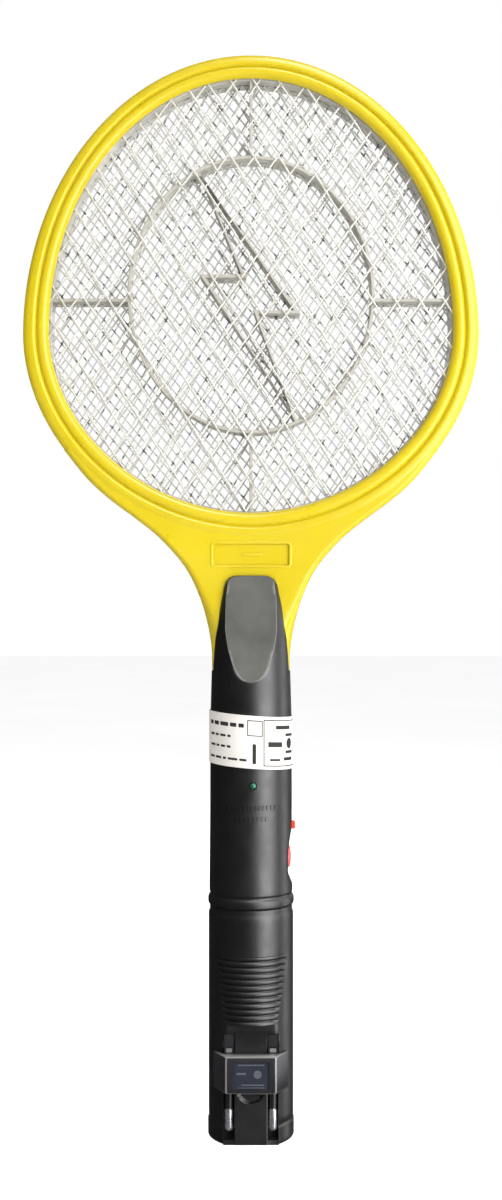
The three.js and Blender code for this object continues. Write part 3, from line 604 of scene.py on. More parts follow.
def badge_border():
    """Raised frame round the badge's recess."""
    half = BADGE["border"] / 2
    rings = []
    outline = rounded_rectangle(BADGE["width"] + 2 * half, BADGE["height"] + 2 * half, 1.5, 6)
    count = len(outline)
    for i, (x, z) in enumerate(outline):
        before, after = Vector(outline[i - 1]), Vector(outline[(i + 1) % count])
        along = (after - before).normalized()
        side = Vector((along.y, -along.x))
        bead = [(half * math.cos(t), 0.32 * math.sin(t)) for t in np.linspace(0, math.pi, 7)]
        bead += [(-half, -0.5), (half, -0.5)]
        rings.append([(x + side.x * u, -(NECK_FACE + v), z + side.y * u + BADGE["z"]) for u, v in bead])
    return loft("badge_border", rings, closed=True)


def mirrored_copy(obj, name):
    """The same mesh on the rear side of the parting plane."""
    mesh = obj.data.copy()
    mesh.name = name
    mesh.transform(Matrix.Scale(-1, 4, (0, 1, 0)))
    mesh.flip_normals()
    return link(name, mesh)


def screw_hole(x, z, seat_y, radius=2.5):
    steps = [math.pi * 2 * i / 24 for i in range(24)]
    outline = [(x + radius * math.cos(t), z + radius * math.sin(t)) for t in steps]
    return prism("hole", outline, seat_y, seat_y + 30)


def tongue():
    """The tab of the neck that the handle clamps."""
    outline = rounded_rectangle(2 * TONGUE["half_width"], 20, 1.5)
    low = TONGUE["bottom"] + 10
    return prism("tongue", [(x, z + low) for x, z in outline], -TONGUE["half_depth"], -0.3)


def head_frame():
    rim = rim_half("head_front")
    neck = neck_plate("neck")
    cut(neck, prism("opening", oval_outline(8.4), -30, 30))
    rear = join(mirrored_copy(rim, "head_rear"), mirrored_copy(neck, "neck_rear"))
    front = join(rim, neck, badge_border())
    recess = rounded_rectangle(BADGE["width"], BADGE["height"], 0.9)
    cut(front, prism("recess", [(x, z + BADGE["z"]) for x, z in recess], -20, -NECK_FACE + BADGE["depth"]))
    for angle in RIM_SCREW_ANGLES:
        place = oval(math.radians(angle), RIM["screw_reach"])
        cut(rear, screw_hole(place[0], place[1], 8.3))
    finish(front, MATERIALS["yellow"], stands_for=["head_frame_front"])
    finish(rear, MATERIALS["yellow"], stands_for=["head_frame_rear"])
    floor_y = -NECK_FACE + BADGE["depth"]
    bar = rounded_rectangle(*BADGE["bar"], 0.5)
    mark = prism("badge_bar", [(x, z + BADGE["z"]) for x, z in bar], floor_y - 0.3, floor_y + 0.3)
    bevel(mark, 0.12, 2)
    finish(mark, MATERIALS["yellow"])
    for y_sign, label in ((-1, "front"), (1, "rear")):
        tab = tongue()
        tab.name = f"neck_tongue_{label}"
        if y_sign > 0:
            tab.data.transform(Matrix.Scale(-1, 4, (0, 1, 0)))
            tab.data.flip_normals()
        bevel(tab, 0.4, 2)
        finish(tab, MATERIALS["yellow"])


head_frame()

# ---------------------------------------------------------------- handle shells


def profile_radius(z):
    return float(np.interp(z, [p[0] for p in HANDLE_PROFILE], [p[1] for p in HANDLE_PROFILE]))


def thumb_plane(z):
    """Distance of the hollowed thumb rest from the parting plane."""
    if z < THUMB_REST[0][1]:
        return THUMB_REST[0][0] + 0.16 * (THUMB_REST[0][1] - z)
    return float(np.interp(z, THUMB_LINE[:, 1], THUMB_LINE[:, 0]))


THUMB_LINE = np.array(curve(THUMB_REST, 8))


def scoop_plane(z):
    """Distance of the finger hollow's floor from the handle's middle plane, on the right side."""
    s = SCOOP
    if z < s["floor_bottom"]:
        return s["x"] + 2.7 * max(0.0, (s["floor_bottom"] - z) / (s["floor_bottom"] - s["bottom"])) ** 2.4
    if z > s["floor_top"]:
        return s["x"] + 2.4 * ((z - s["floor_top"]) / (s["top"] - s["floor_top"])) ** 1.5
    return s["x"]


def handle_radius(angle, z):
    """Radius of the handle's outside; the angle runs from the front towards the right side."""
    radius = profile_radius(z)
    facing, sideways = math.cos(angle), math.sin(angle)
    if z > THUMB_REST[0][1] - 3 and facing > 0.2:
        radius = smooth_min(radius, thumb_plane(z) / facing, 0.16)
    if SCOOP["bottom"] - 2 < z < SCOOP["top"] + 3 and sideways > 0.3:
        radius = smooth_min(radius, scoop_plane(z) / sideways, 0.7)
    return radius


def quadratic(a, b, c, steps):
    made = []
    for i in range(1, steps + 1):
        t = i / steps
        made.append(tuple((1 - t) ** 2 * a[k] + 2 * t * (1 - t) * b[k] + t * t * c[k] for k in (0, 1)))
    return made


def arch_edge():
    """Right edge of the arched cap as (half-width, z), from its foot up to the flat top."""
    side, foot, top = CAP["half_width"], CAP["foot"], CAP["top"]
    low, shoulder = (foot, CAP["foot_z"]), (side, CAP["shoulder_z"])
    return [low, *quadratic(low, (foot - 0.6, CAP["flare_z"]), shoulder, 24),
            *quadratic(shoulder, (side - 0.6, top), (side - CAP["corner"], top), 16)]


ARCH = arch_edge()
ARCH_OUTLINE = [Vector(p) for p in ARCH] + [Vector((-x, z)) for x, z in reversed(ARCH)]


def arch_half_width(z):
    return float(np.interp(z, [p[1] for p in ARCH], [p[0] for p in ARCH]))


def arch_inset(x, z):
    """Distance of a front-view point from the cap's edge."""
    point = Vector((x, z))
    best = 1e9
    for a, b in zip(ARCH_OUTLINE, ARCH_OUTLINE[1:]):
        along = b - a
        t = max(0.0, min(1.0, (point - a).dot(along) / max(along.length_squared, 1e-9)))
        best = min(best, (point - a - along * t).length)
    return best


CREASE = math.radians(0.7)  # half-width of the thumb rest's rounded edge
SHOULDER_ANGLE = math.asin(arch_half_width(SHOULDER_Z) / profile_radius(SHOULDER_Z))
EDGE_TURNS = [math.radians(a) for a in (0, 22, 45, 67, 90)]


def half_angles(z, edge):
    """Angles from the front round to the cap's edge, with some on the thumb rest's own edge."""
    reach = max(0.0, 1 - thumb_plane(z) / profile_radius(z))
    crease = max(math.radians(3), math.sqrt(2 * reach))
    crease = min(math.acos(min(1.0, thumb_plane(z) / profile_radius(z))) if reach > 0.002 else crease,
                 edge - 4 * CREASE)
    flat = [(crease - CREASE) * k / 8 for k in range(1, 8)]
    bend = [crease - CREASE, crease - 0.4 * CREASE, crease, crease + 0.4 * CREASE, crease + CREASE]
    body = [crease + CREASE + (edge - crease - CREASE) * k / 16 for k in range(1, 16)]
    return flat, bend, body


def round_row(z):
    """Outside and inside of the full round handle at a height."""
    flat, bend, body = half_angles(z, SHOULDER_ANGLE)
    side = [SHOULDER_ANGLE + (math.pi / 2 - SHOULDER_ANGLE) * k / 5 for k in range(6)]
    right = [*flat, *bend, *body, *side]
    angles = [-a for a in reversed(right)] + [0.0] + right
    outer, inner = [], []
    for angle in angles:
        radius = handle_radius(angle, z)
        outer.append((radius * math.sin(angle), -max(PARTING, radius * math.cos(angle)), z))
        inside = radius - WALL
        inner.append((inside * math.sin(angle), -max(PARTING, inside * math.cos(angle)), z))
    return outer, inner


def cap_row(z):
    """Outside and inside of the cap that lies over the neck, at a height."""
    width = arch_half_width(z)
    radius = profile_radius(z)
    flat, bend, body = half_angles(z, math.asin(min(0.999, (width - CAP["round"]) / radius)))
    inward = [radius * math.sin(a) for a in (*flat, *bend, *body)]
    edge = [width - CAP["round"] * (1 - math.sin(t)) for t in EDGE_TURNS]
    right = [*inward, *edge]
    xs = [-x for x in reversed(right)] + [0.0] + right
    outer, inner = [], []
    for x in xs:
        angle = math.asin(max(-0.9999, min(0.9999, x / radius)))
        height = smooth_min(radius * math.cos(angle), thumb_plane(z), 0.16)
        inset = min(CAP["round"], arch_inset(x, z))
        drop = CAP["round"] - math.sqrt(max(0.0, CAP["round"] ** 2 - (CAP["round"] - inset) ** 2))
        outer.append((x, -(height - drop), z))
        inner.append((x * 0.97, -(neck_front(x * 0.97, z) - 0.15), z))
    foot = neck_front(width, z) - 0.15
    outer = [(-width, -foot, z), *outer, (width, -foot, z)]
    inner = [(-width * 0.985, -foot, z), *inner, (width * 0.985, -foot, z)]
    return outer, inner


def handle_half(name):
    """Front half of the handle, its shell open at the bottom and closed over the neck."""
    low = [101.5, 101.65, 101.8, 102.2, 102.6, 103.5, 104.4, 104.8, 105.2, 105.55, 105.9, 106.2, 106.5,
           106.85, 107.2, 107.8, 108.5]
    low += list(np.linspace(109.5, 138, 42)) + list(np.linspace(141, 193, 26))
    low += [194 + 9.7 * (k / 26) ** 1.2 for k in range(27)]
    rows = [round_row(z) for z in low]
    top = CAP["top"]
    high = list(np.linspace(SHOULDER_Z, 237, 44)) + [top - 8.2 * (1 - k / 22) ** 1.7 for k in range(1, 22)]
    high += [top - CAP["round"] * (1 - math.sin(t)) for t in EDGE_TURNS[1:]]
    rows += [cap_row(z) for z in sorted(high)]
    foot = [[(x, -(NECK_FACE - 0.15), z) for x, y, z in side] for side in rows[-1]]
    rows.append(tuple(foot))
    return shell(name, rows)


def paint_edge_highlight_and_wear(obj, rule):
    """Marks where a piece's edges are painted pale, as painted highlight and partly wear; the rule takes a
    point in millimetres.
    """
    marks = obj.data.attributes.new("edge", "FLOAT", "POINT")
    for i, vertex in enumerate(obj.data.vertices):
        marks.data[i].value = rule(*(vertex.co / MM))


def thumb_edge(x, y, z):
    """A pale mark along the thumb rest's rounded edge, about a quarter strength: painted highlight, partly
    wear.
    """
    if z < THUMB_REST[0][1] - 1:
        return 0.0
    radius = profile_radius(z)
    off_plane = abs(abs(y) - thumb_plane(z))
    off_round = abs(math.hypot(x, y) - radius)
    if off_plane < 0.1 and off_round < 0.1 and abs(y) > NECK_FACE + 0.3 and abs(x) > 2:
        return 0.24 + 0.12 * noise.noise(Vector((x, y, z)) * 0.4)
    return 0.0


def rough_thumb_rest_painted_sheen(obj):
    """The thumb rest is moulded rougher than the rest of the handle; its faces also get a far lighter grey,
    painted sheen for the light the upturned rest catches.
    """
    obj.data.materials.append(MATERIALS["black"])
    obj.data.materials.append(MATERIALS["thumb"])
    for face in obj.data.polygons:
        x, y, z = face.center / MM
        on_rest = z > THUMB_REST[0][1] - 1 and abs(abs(y) - thumb_plane(z)) < 0.07
        if on_rest and math.hypot(x, y) < profile_radius(z) - 0.02:
            face.material_index = 1


def circle(radius, steps=40, centre=(0, 0)):
    return [(centre[0] + radius * math.cos(2 * math.pi * i / steps),
             centre[1] + radius * math.sin(2 * math.pi * i / steps)) for i in range(steps)]


def side_openings():
    """Holes in the right side for the button and for the power switch's knob."""
    slot_height = KNOB["height"] + KNOB["travel"] + 0.6
    slot_z = KNOB["z"] + KNOB["travel"] / 2
    slot = [(y, z + slot_z) for y, z in rounded_rectangle(KNOB["depth"] + 0.6, slot_height, 0.4)]
    hole = prism("button_hole", circle(BUTTON_HOLE, 56, (0, BUTTON_Z)), 3, 30, "X")
    return [hole, prism("knob_slot", slot, 3, 30, "X")]


def handle_shells():
    front = handle_half("handle_front")
    rear = mirrored_copy(front, "handle_rear")
    cut(front, *side_openings(), prism("led_hole", circle(1.75, 32, (LED["x"], LED["z"])), -30, -10))
    cut(rear, *side_openings())
    for place in HANDLE_SCREWS:
        cut(rear, screw_hole(*place))
    for obj, node in ((front, "handle_front_shell"), (rear, "handle_rear_shell")):
        paint_edge_highlight_and_wear(obj, thumb_edge)
        rough_thumb_rest_painted_sheen(obj)
        finish(obj, None, stands_for=[node], angle=38)


handle_shells()

# ---------------------------------------------------------------- lower housing

SIDE_STEPS = 12


def rib_radius(angle, z):
    """Grip ribs on the front: round crests with narrow valleys, fading out round the sides."""
    top = RIBS["lowest"] + RIBS["count"] * RIBS["pitch"] - 0.6
    if not RIBS["lowest"] - 1.2 < z < top:
        return 0.0
    share = (z - RIBS["lowest"]) / (top - RIBS["lowest"])
    reach = math.radians(38 + 17 * share)
    fade = max(0.0, min(1.0, (reach - abs(angle)) / math.radians(5)))
    phase = (z - RIBS["lowest"]) / RIBS["pitch"]
    valley = (1 - abs(math.sin(math.pi * phase))) ** 1.5
    return RIBS["depth"] * valley * fade * fade * (3 - 2 * fade)


def lower_radius(angle, z):
    radius = float(np.interp(z, [0, 0.25, 0.8, 7.2, 7.7, 8.2, 8.7, 9.3, 97.5, 98.2, 99, 101, 101.2],
                             [18.3, 18.7, 18.9, 18.9, 18.4, 18.2, 18.3, 18.6, 18.6, 18.45, 18.1, 18.1, 18.0]))
    return radius - rib_radius(angle, z)


def lower_half_outline(z, kind):
    """Right half of the housing's front outline as (x, distance in front of the parting plane).

    kind is "channel" along the plug's tracks, "flat" just above them and "round" higher up.
    """
    rail, track = RAIL, CHANNEL
    rest = 0.35
    radius = lambda x: lower_radius(math.asin(min(1.0, x / LOWER["radius"])), z)
    skin = lambda x: math.sqrt(max(0.0, radius(x) ** 2 - x * x))
    front = lambda x: skin(x) if kind == "round" else min(FLAT["y"] - dish(x, z), skin(x))
    near, far = track["near"], track["far"]
    middle = [near * k / 10 for k in range(10)]
    turn_in = [near - rest, near - 0.3 * rest, near]
    turn_out = [far, far + 0.3 * rest, far + rest]
    points = [(x, front(x)) for x in middle]
    if kind == "channel":
        points += [(turn_in[0], front(near)), (turn_in[1], front(near) - 0.3 * rest),
                   (near, front(near) - rest)]
        points += [(near, rail["front_y"]), (rail["near"], rail["front_y"]), (rail["near"], track["floor_y"]),
                   (rail["far"], track["floor_y"]), (rail["far"], rail["front_y"]), (far, rail["front_y"])]
        points += [(far, front(far) - rest), (turn_out[1], front(far) - 0.3 * rest),
                   (turn_out[2], front(turn_out[2]))]
    else:
        spread_out = list(np.linspace(near, far, 6))
        points += [(x, front(x)) for x in turn_in]
        points += [(x, front(x)) for x in spread_out]
        points += [(x, front(x)) for x in turn_out]
    start = math.asin(turn_out[2] / LOWER["radius"])
    for k in range(1, SIDE_STEPS + 1):
        angle = start + (math.pi / 2 - start) * k / SIDE_STEPS
        r = lower_radius(angle, z)
        points.append((r * math.sin(angle), max(PARTING, r * math.cos(angle))))
    return points


def dish(x, z):
    """Shallow hollow in the flat above the plug, and the finger hollow below it."""
    upper, lower = UPPER_DISH, FINGER_HOLLOW
    above = 0.0
    if z > upper["from"]:
        above = max(0.0, 1 - ((z - upper["z"]) / upper["half_height"]) ** 2) * upper["depth"]
    reach = lower["radius"] - math.hypot(x, z - lower["z"])
    below = lower["depth"] * min(1.0, max(0.0, reach / 0.5)) if z <= lower["top"] else 0.0
    return max(above, below)


def lower_row(z, kind, solid_floor=False, spigot=False):
    half = lower_half_outline(min(z, LOWER["top"]), kind)
    if spigot:
        radius, root = SPIGOT["radius"], SPIGOT["root"]
        half = [(x * radius / root, max(PARTING, y * radius / root)) for x, y in half]
    wall = SPIGOT["bore"] if spigot else LOWER["radius"] - WALL
    inner = []
    for x, y in half:
        length = max(0.01, math.hypot(x, y))
        depth = min(y * wall / length, FLAT["y"] - WALL if z < FLAT["top"] + 2 else wall)
        if z < CHANNEL["top"] + WALL and RAIL["near"] - 1.3 < x < RAIL["far"] + 3.4:
            depth = min(depth, CHANNEL["floor_y"] - 1.6)
        inner.append((x * wall / LOWER["radius"], PARTING if solid_floor else max(PARTING, depth)))
    outer = [(-x, -y, z) for x, y in reversed(half)] + [(x, -y, z) for x, y in half[1:]]
    inside = [(-x, -y, z) for x, y in reversed(inner)] + [(x, -y, z) for x, y in inner[1:]]
    return outer, inside


def lower_front(name):
    rows = [lower_row(z, "channel", True) for z in (0, 0.25, 0.8, LOWER["floor"])]
    rows += [lower_row(z, "channel") for z in (LOWER["floor"], 4, 6, 7.2, 7.7, 8.2, 8.7, 9.3, 12, 15, 17)]
    rows += [lower_row(z, "channel") for z in np.linspace(17.5, 24, 22)]
    rows += [lower_row(z, "channel") for z in (24.05, 28, 32, *np.linspace(33.5, CHANNEL["top"], 12))]
    rows += [lower_row(z, "flat") for z in (CHANNEL["top"], 48.5, 50, 51.5, FLAT["top"])]
    rows += [lower_row(z, "round") for z in (FLAT["top"], 52.3)]
    rows += [lower_row(z, "round") for z in np.arange(52.5, 82.2, RIBS["pitch"] / 14)]
    rows += [lower_row(z, "round") for z in (84, 88, 92, 96, 97.5, 98.2, 99, 100, 101, 101.2)]
    rows += [lower_row(z, "round", spigot=True) for z in (LOWER["top"], SPIGOT["top"])]
    return shell(name, rows)


def lower_rear(name):
    """Rear half of the housing: plain and round, with grip ribs left off."""
    rows = []
    angles = [math.pi * (k / 48 - 0.5) for k in range(49)]

    def row(z, wall, spigot=False):
        base = [lower_radius(math.pi, z) if not spigot else SPIGOT["radius"] for _ in angles]
        outer = [(r * math.sin(a), max(PARTING, r * math.cos(a)), z) for r, a in zip(base, angles)]
        inner = [(wall * math.sin(a), max(PARTING, wall * math.cos(a)), z) for a in angles]
        return outer, inner

    for z in (0, 0.25, 0.8, 1.7, LOWER["floor"]):
        rows.append(row(z, 12.6))
    for z in (LOWER["floor"], 7.2, 7.7, 8.2, 8.7, 9.3, 30, 60, 97.5, 98.2, 99, 100, 101, 101.2):
        rows.append(row(z, LOWER["radius"] - WALL))
    rows += [row(z, SPIGOT["bore"], True) for z in (LOWER["top"], SPIGOT["top"])]
    return shell(name, rows)


def end_cap():
    """Round cover in the housing's end face, with a moulded ring on it."""
    profile = [(0, 0.5), (5.5, 0.5), (5.9, 0.1), (8.1, 0.1), (8.5, 0.5), (10.6, 0.5), (10.9, 0.05),
               (11.7, 0.05), (12, 0.35), (12, 1.7), (0, 1.7)]
    cover = lathe("end_cap_cover", profile, steps=72)
    return cut(cover, prism("flat_side", [(-20, -5), (20, -5), (20, 5), (-20, 5)], -30, -6.7))


def track_lip(side):
    """Thin lip that roofs a track over at its foot; the pin slides out of the housing behind it."""
    low, high = CHANNEL["near"] - 0.4, CHANNEL["far"] + 0.2
    outline = [(low, 0.05 - FLAT["y"]), (high, 0.05 - FLAT["y"]), (high, -CHANNEL["lip_y"]),
               (low, -CHANNEL["lip_y"])]
    return prism("track_lip", [(side * x, y) for x, y in outline], 0.04, CHANNEL["lip_top"], "Z")


def lower_housing():
    front = lower_front("lower_front")
    for side in (-1, 1):
        join(front, track_lip(side))
    finish(front, MATERIALS["black"], stands_for=["lower_front_shell"], angle=38)
    rear = lower_rear("lower_rear")
    for place in LOWER_SCREWS:
        cut(rear, screw_hole(*place))
    finish(rear, MATERIALS["black"], stands_for=["lower_rear_shell"], angle=38)
    finish(end_cap(), MATERIALS["black"], stands_for=["end_cap"])


lower_housing()

# ---------------------------------------------------------------- sliding plug


def round_corners(outline, radius, steps=3):
    """The outline with its corners replaced by short arcs; the radius may differ for each corner."""
    made = []
    count = len(outline)
    for i, corner in enumerate(outline):
        r = radius[i] if isinstance(radius, (list, tuple)) else radius
        here, before, after = Vector(corner), Vector(outline[i - 1]), Vector(outline[(i + 1) % count])
        if r <= 0:
            made.append(tuple(here))
            continue
        a = here + (before - here).normalized() * r
        b = here + (after - here).normalized() * r
        for k in range(steps + 1):
            t = k / steps
            made.append(tuple(a * (1 - t) ** 2 + here * 2 * t * (1 - t) + b * t * t))
    return made


def carriage_shell():
    """The plug's face block, wrapped over the housing, with a slightly drafted outline."""
    p = PLUG
    saddle_y, ride = FLAT["y"] + 0.3, LOWER["foot_radius"] + 0.25
    corner_x = math.sqrt(ride ** 2 - saddle_y ** 2)
    back = [(ride * math.sin(a), -ride * math.cos(a))
            for a in np.linspace(math.asin(corner_x / ride), math.acos(10.4 / ride), 8)]
    back = [q for q in back if q[0] < p["side_x"] - 0.6]
    flank = (p["face_x"] + 0.09 * (p["side_x"] - p["face_x"]),
             -p["face_y"] + 0.09 * (p["face_y"] - p["side_y"]))
    half = [(p["face_x"] - 1.0, -p["face_y"]), (p["face_x"], -p["face_y"]), flank,
            (p["side_x"], -p["side_y"]), (p["side_x"], -10.6)]
    half_radii = [0, 0.45, 0, 0.4, 0.2]
    outline = round_corners(
        [*[(-x, y) for x, y in reversed(half[:-1])], *half, *reversed(back), *[(-x, y) for x, y in back],
         (-half[-1][0], half[-1][1])],
        [*reversed(half_radii[:-1]), *half_radii] + [0] * (2 * len(back)) + [0.2])
    rings = []
    rounding = 0.4
    heights = [(p["bottom"], rounding), (p["bottom"] + 0.12, 0.12), (p["bottom"] + rounding, 0.0),
               (p["top"] - rounding, 0.0), (p["top"] - 0.12, 0.12), (p["top"], rounding)]
    for z, inset in heights:
        ring = []
        for x, y in outline:
            front = y < -saddle_y - 0.5 or abs(x) > p["side_x"] - 0.3
            scale = 1 - inset / 18 if front else 1.0
            ring.append((x * scale, y + (inset if y < -saddle_y - 0.5 else 0), z))
        rings.append(ring)
    return loft("plug_body", rings)


def plug_leg(side):
    """Runner of the plug in its track, with a T-shaped foot under the track's lips."""
    x = PIN["x"]
    outline = [(-2.0, -15.2), (2.0, -15.2), (2.0, -12.0), (2.5, -12.0), (2.5, -10.2), (-2.5, -10.2),
               (-2.5, -12.0), (-2.0, -12.0)]
    low = PLUG["bottom"] + 0.4
    shape = [(side * x + u, v) for u, v in outline]
    return prism("leg", shape, low, CHANNEL["top"] - 0.3, "Z")


def carriage_edge_highlight(x, y, z):
    """How strongly the plug's edges are painted pale: painted highlight where the edges catch the light,
    strongest along the top edge.
    """
    if y > -FLAT["y"] - 0.6:
        return 0.0
    if abs(z - PLUG["top"]) < 0.2:
        return 0.8
    if abs(abs(x) - PLUG["face_x"]) < 0.3 and y < -20.6:
        return 0.6
    return 0.45 if abs(z - PLUG["bottom"]) < 0.2 else 0.0


def sliding_plug():
    body = "sliding_plug"
    p = PLUG
    block = carriage_shell()
    for side in (-1, 1):
        leg = plug_leg(side)
        notch = [(side * PIN["x"] + u, v)
                 for u, v in ((-1.35, -20), (1.35, -20), (1.35, -13.7), (-1.35, -13.7))]
        cut(leg, prism("notch", notch, p["top"] + 0.25, 42, "Z"))
        upper = [(side * PIN["x"] + u, v) for u, v in ((-3, -20), (3, -20), (3, -14.5), (-3, -14.5))]
        cut(leg, prism("step", upper, 42, 60, "Z"))
        join(block, leg)
        bore = circle(PIN["bore"], 24, (side * PIN["x"], -PIN["y"]))
        cut(block, prism("bore", bore, p["bottom"] - 2, 37, "Z"))
    middle = (p["bottom"] + p["top"]) / 2 - 0.25
    panel = [(x, z + middle) for x, z in rounded_rectangle(PANEL["width"], PANEL["height"], 0.5)]
    cut(block, prism("panel", panel, -p["face_y"] - 2, -p["face_y"] + PANEL["depth"]))
    block.data.materials.append(MATERIALS["carriage"])
    block.data.materials.append(MATERIALS["panel"])
    for face in block.data.polygons:
        x, y, z = face.center / MM
        if abs(y + p["face_y"] - PANEL["depth"]) < 0.02 and abs(x) < PANEL["width"] / 2:
            face.material_index = 1
    paint_edge_highlight_and_wear(block, carriage_edge_highlight)
    finish(block, None, body, ["plug_carriage"])

    floor_y = -p["face_y"] + PANEL["depth"]
    for name, outline, centre in panel_marks():
        mark = prism(name, [(x + centre[0], z + middle + centre[1]) for x, z in outline],
                     floor_y - 0.22, floor_y + 0.1)
        finish(bevel(mark, 0.05, 1), MATERIALS["panel_mark"], body)

    for side, label in ((-1, "left"), (1, "right")):
        origin = (side * PIN["x"], -PIN["y"], 0)
        tip, top, r = PIN["tip"], PIN["metal_top"], PIN["radius"]
        dome = [(r * math.sin(t), tip + 1.5 * (1 - math.cos(t))) for t in np.linspace(0, math.pi / 2, 9)]
        core, core_top, bore = PIN["core"], PIN["core_top"], PIN["bore"]
        pin = lathe("pin_metal", [*dome, (r, top - 0.15), (r - 0.15, top), (core, top), (core, core_top),
                                  (0, core_top)], origin)
        finish(pin, MATERIALS["chrome"], body, [f"plug_pin_{label}"])
        pin.name = f"pin_{label}"
        low, high = top + 0.3, PIN["sleeve_top"]
        sleeve = lathe("sleeve", [(bore, low), (1.8, low), (1.95, low + 0.15), (1.95, high - 0.15),
                                  (1.8, high), (bore, high)], origin)
        finish(sleeve, MATERIALS["sleeve"], body, [f"pin_sleeve_{label}"])
        sleeve.name = f"sleeve_{label}"
        low_corner, high_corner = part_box(f"pin_contact_{label}")
        centre = (low_corner + high_corner) / 2 / MM
        strip = prism("contact", [(x + centre.x, z + centre.z) for x, z in rounded_rectangle(2.6, 1.8, 0.4)],
                      centre.y - 0.1, centre.y + 0.1)
        finish(strip, MATERIALS["brass"], body, [f"pin_contact_{label}"])
        strip.name = f"contact_{label}"


def panel_marks():
    """Plain raised bars and a disc in the plug's panel."""
    bars = [("panel_bar_1", 11.6, 0.55, (0.0, 4.6)), ("panel_bar_2", 4.2, 0.9, (-4.3, 0.9)),
            ("panel_bar_3", 9.6, 0.55, (0.6, -3.9)), ("panel_bar_4", 11.6, 0.3, (0.0, -5.1))]
    marks = [(name, rounded_rectangle(w, h, min(w, h) * 0.3), place) for name, w, h, place in bars]
    marks.append(("panel_disc", circle(1.8, 32), (2.8, 0.6)))
    return marks


sliding_plug()

# ---------------------------------------------------------------- red controls and the lamp


def controls():
    face = [(0, 17.6), (2.2, 17.52), (3.8, 17.3), (4.7, 16.95), (5.25, 16.4), (5.5, 15.7), (5.5, 13.6),
            (6.7, 13.6), (6.7, 12.6), (0, 12.6)]
    button = lathe("button_cap", face, (0, 0, BUTTON_Z), "X", 72)
    finish(button, MATERIALS["red"], "button", ["zap_button"])

    half = KNOB["height"] / 2
    outline = round_corners([(13.0, -half), (19.5, -half), (19.5, half), (13.0, half)], [0, 0.9, 0.9, 0], 5)
    knob = prism("knob", [(x, z + KNOB["z"]) for x, z in outline], -KNOB["depth"] / 2, KNOB["depth"] / 2)
    bevel(knob, 0.35, 3)
    flange = prism("flange", rounded_rectangle(4.8, 5.7, 0.5), 12.9, 13.8, "X")
    flange.data.transform(Matrix.Translation((0, 0, KNOB["z"] * MM)))
    join(knob, flange)
    for x in (15.6, 16.8, 18.0):
        groove = prism("groove", circle(0.22, 12, (x, KNOB["z"] + half)), -5, 5)
        cut(knob, groove)
    finish(knob, MATERIALS["orange"], "power_knob", ["power_switch_knob"])
    knob.name = "power_knob_cap"

    dome = [(1.5 * math.cos(t), 17.4 + 1.35 * math.sin(t)) for t in np.linspace(0, math.pi / 2, 9)]
    lamp = lathe("lamp", [(0, 13.4), (1.9, 13.4), (1.9, 14.4), (1.5, 14.4), *dome],
                 (LED["x"], 0, LED["z"]), "Y", 40)
    lamp.data.transform(Matrix.Scale(-1, 4, (0, 1, 0)))
    lamp.data.flip_normals()
    finish(lamp, MATERIALS["led"], stands_for=["power_led"])


def button_coil():
    """A coil of round wire between the switch and the button's back."""
    rings = []
    for i in range(SPRING["steps"] + 1):
        share = i / SPRING["steps"]
        turn = 2 * math.pi * SPRING["turns"] * share
        x = SPRING["from"] + (SPRING["to"] - SPRING["from"]) * share
        ring = []
        for k in range(8):
            angle = 2 * math.pi * k / 8
            out = SPRING["radius"] + SPRING["wire"] * math.cos(angle)
            ring.append((x + SPRING["wire"] * math.sin(angle), out * math.cos(turn),
                         BUTTON_Z + out * math.sin(turn)))
        rings.append(ring)
    coil = finish(loft("button_coil", rings), MATERIALS["steel"], stands_for=["button_spring"])
    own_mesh(coil)


controls()
button_coil()


def raised_marks():
    """Two rows of plain raised strokes below the lamp, where the handle carries moulded marks."""
    rows = [("mark_upper", 145.3, -10.6, 11.4, 13), ("mark_lower", 140.4, -7.0, 7.6, 8)]
    for name, z, first, last, count in rows:
        vertices, faces = [], []
        pitch = (last - first) / count
        for i in range(count):
            x = first + pitch * (i + 0.5)
            width, height = pitch * 0.5, 2.0
            base = len(vertices)
            for low, lift in ((0.0, -0.12), (0.12, 0.42)):
                for u, v in ((-1, -1), (1, -1), (1, 1), (-1, 1)):
                    px, pz = x + u * (width / 2 - low), z + v * (height / 2 - low)
                    r = profile_radius(pz) + lift
                    vertices.append((px, -math.sqrt(r * r - px * px), pz))
            faces += [[base + k for k in face] for face in
                      ((0, 1, 2, 3), (4, 5, 6, 7), (0, 1, 5, 4), (1, 2, 6, 5), (2, 3, 7, 6), (3, 0, 4, 7))]
        finish(solid(name, vertices, faces), MATERIALS["black"], angle=20)


raised_marks()

# ---------------------------------------------------------------- label


def band_point(angle, height, lift):
    """A point on the label's tilted band; the angle runs from the front towards the right side."""
    r = LABEL["radius"] + lift
    x = r * math.sin(angle)
    return (x, -r * math.cos(angle), LABEL["z"] + height + LABEL["slope"] * x)


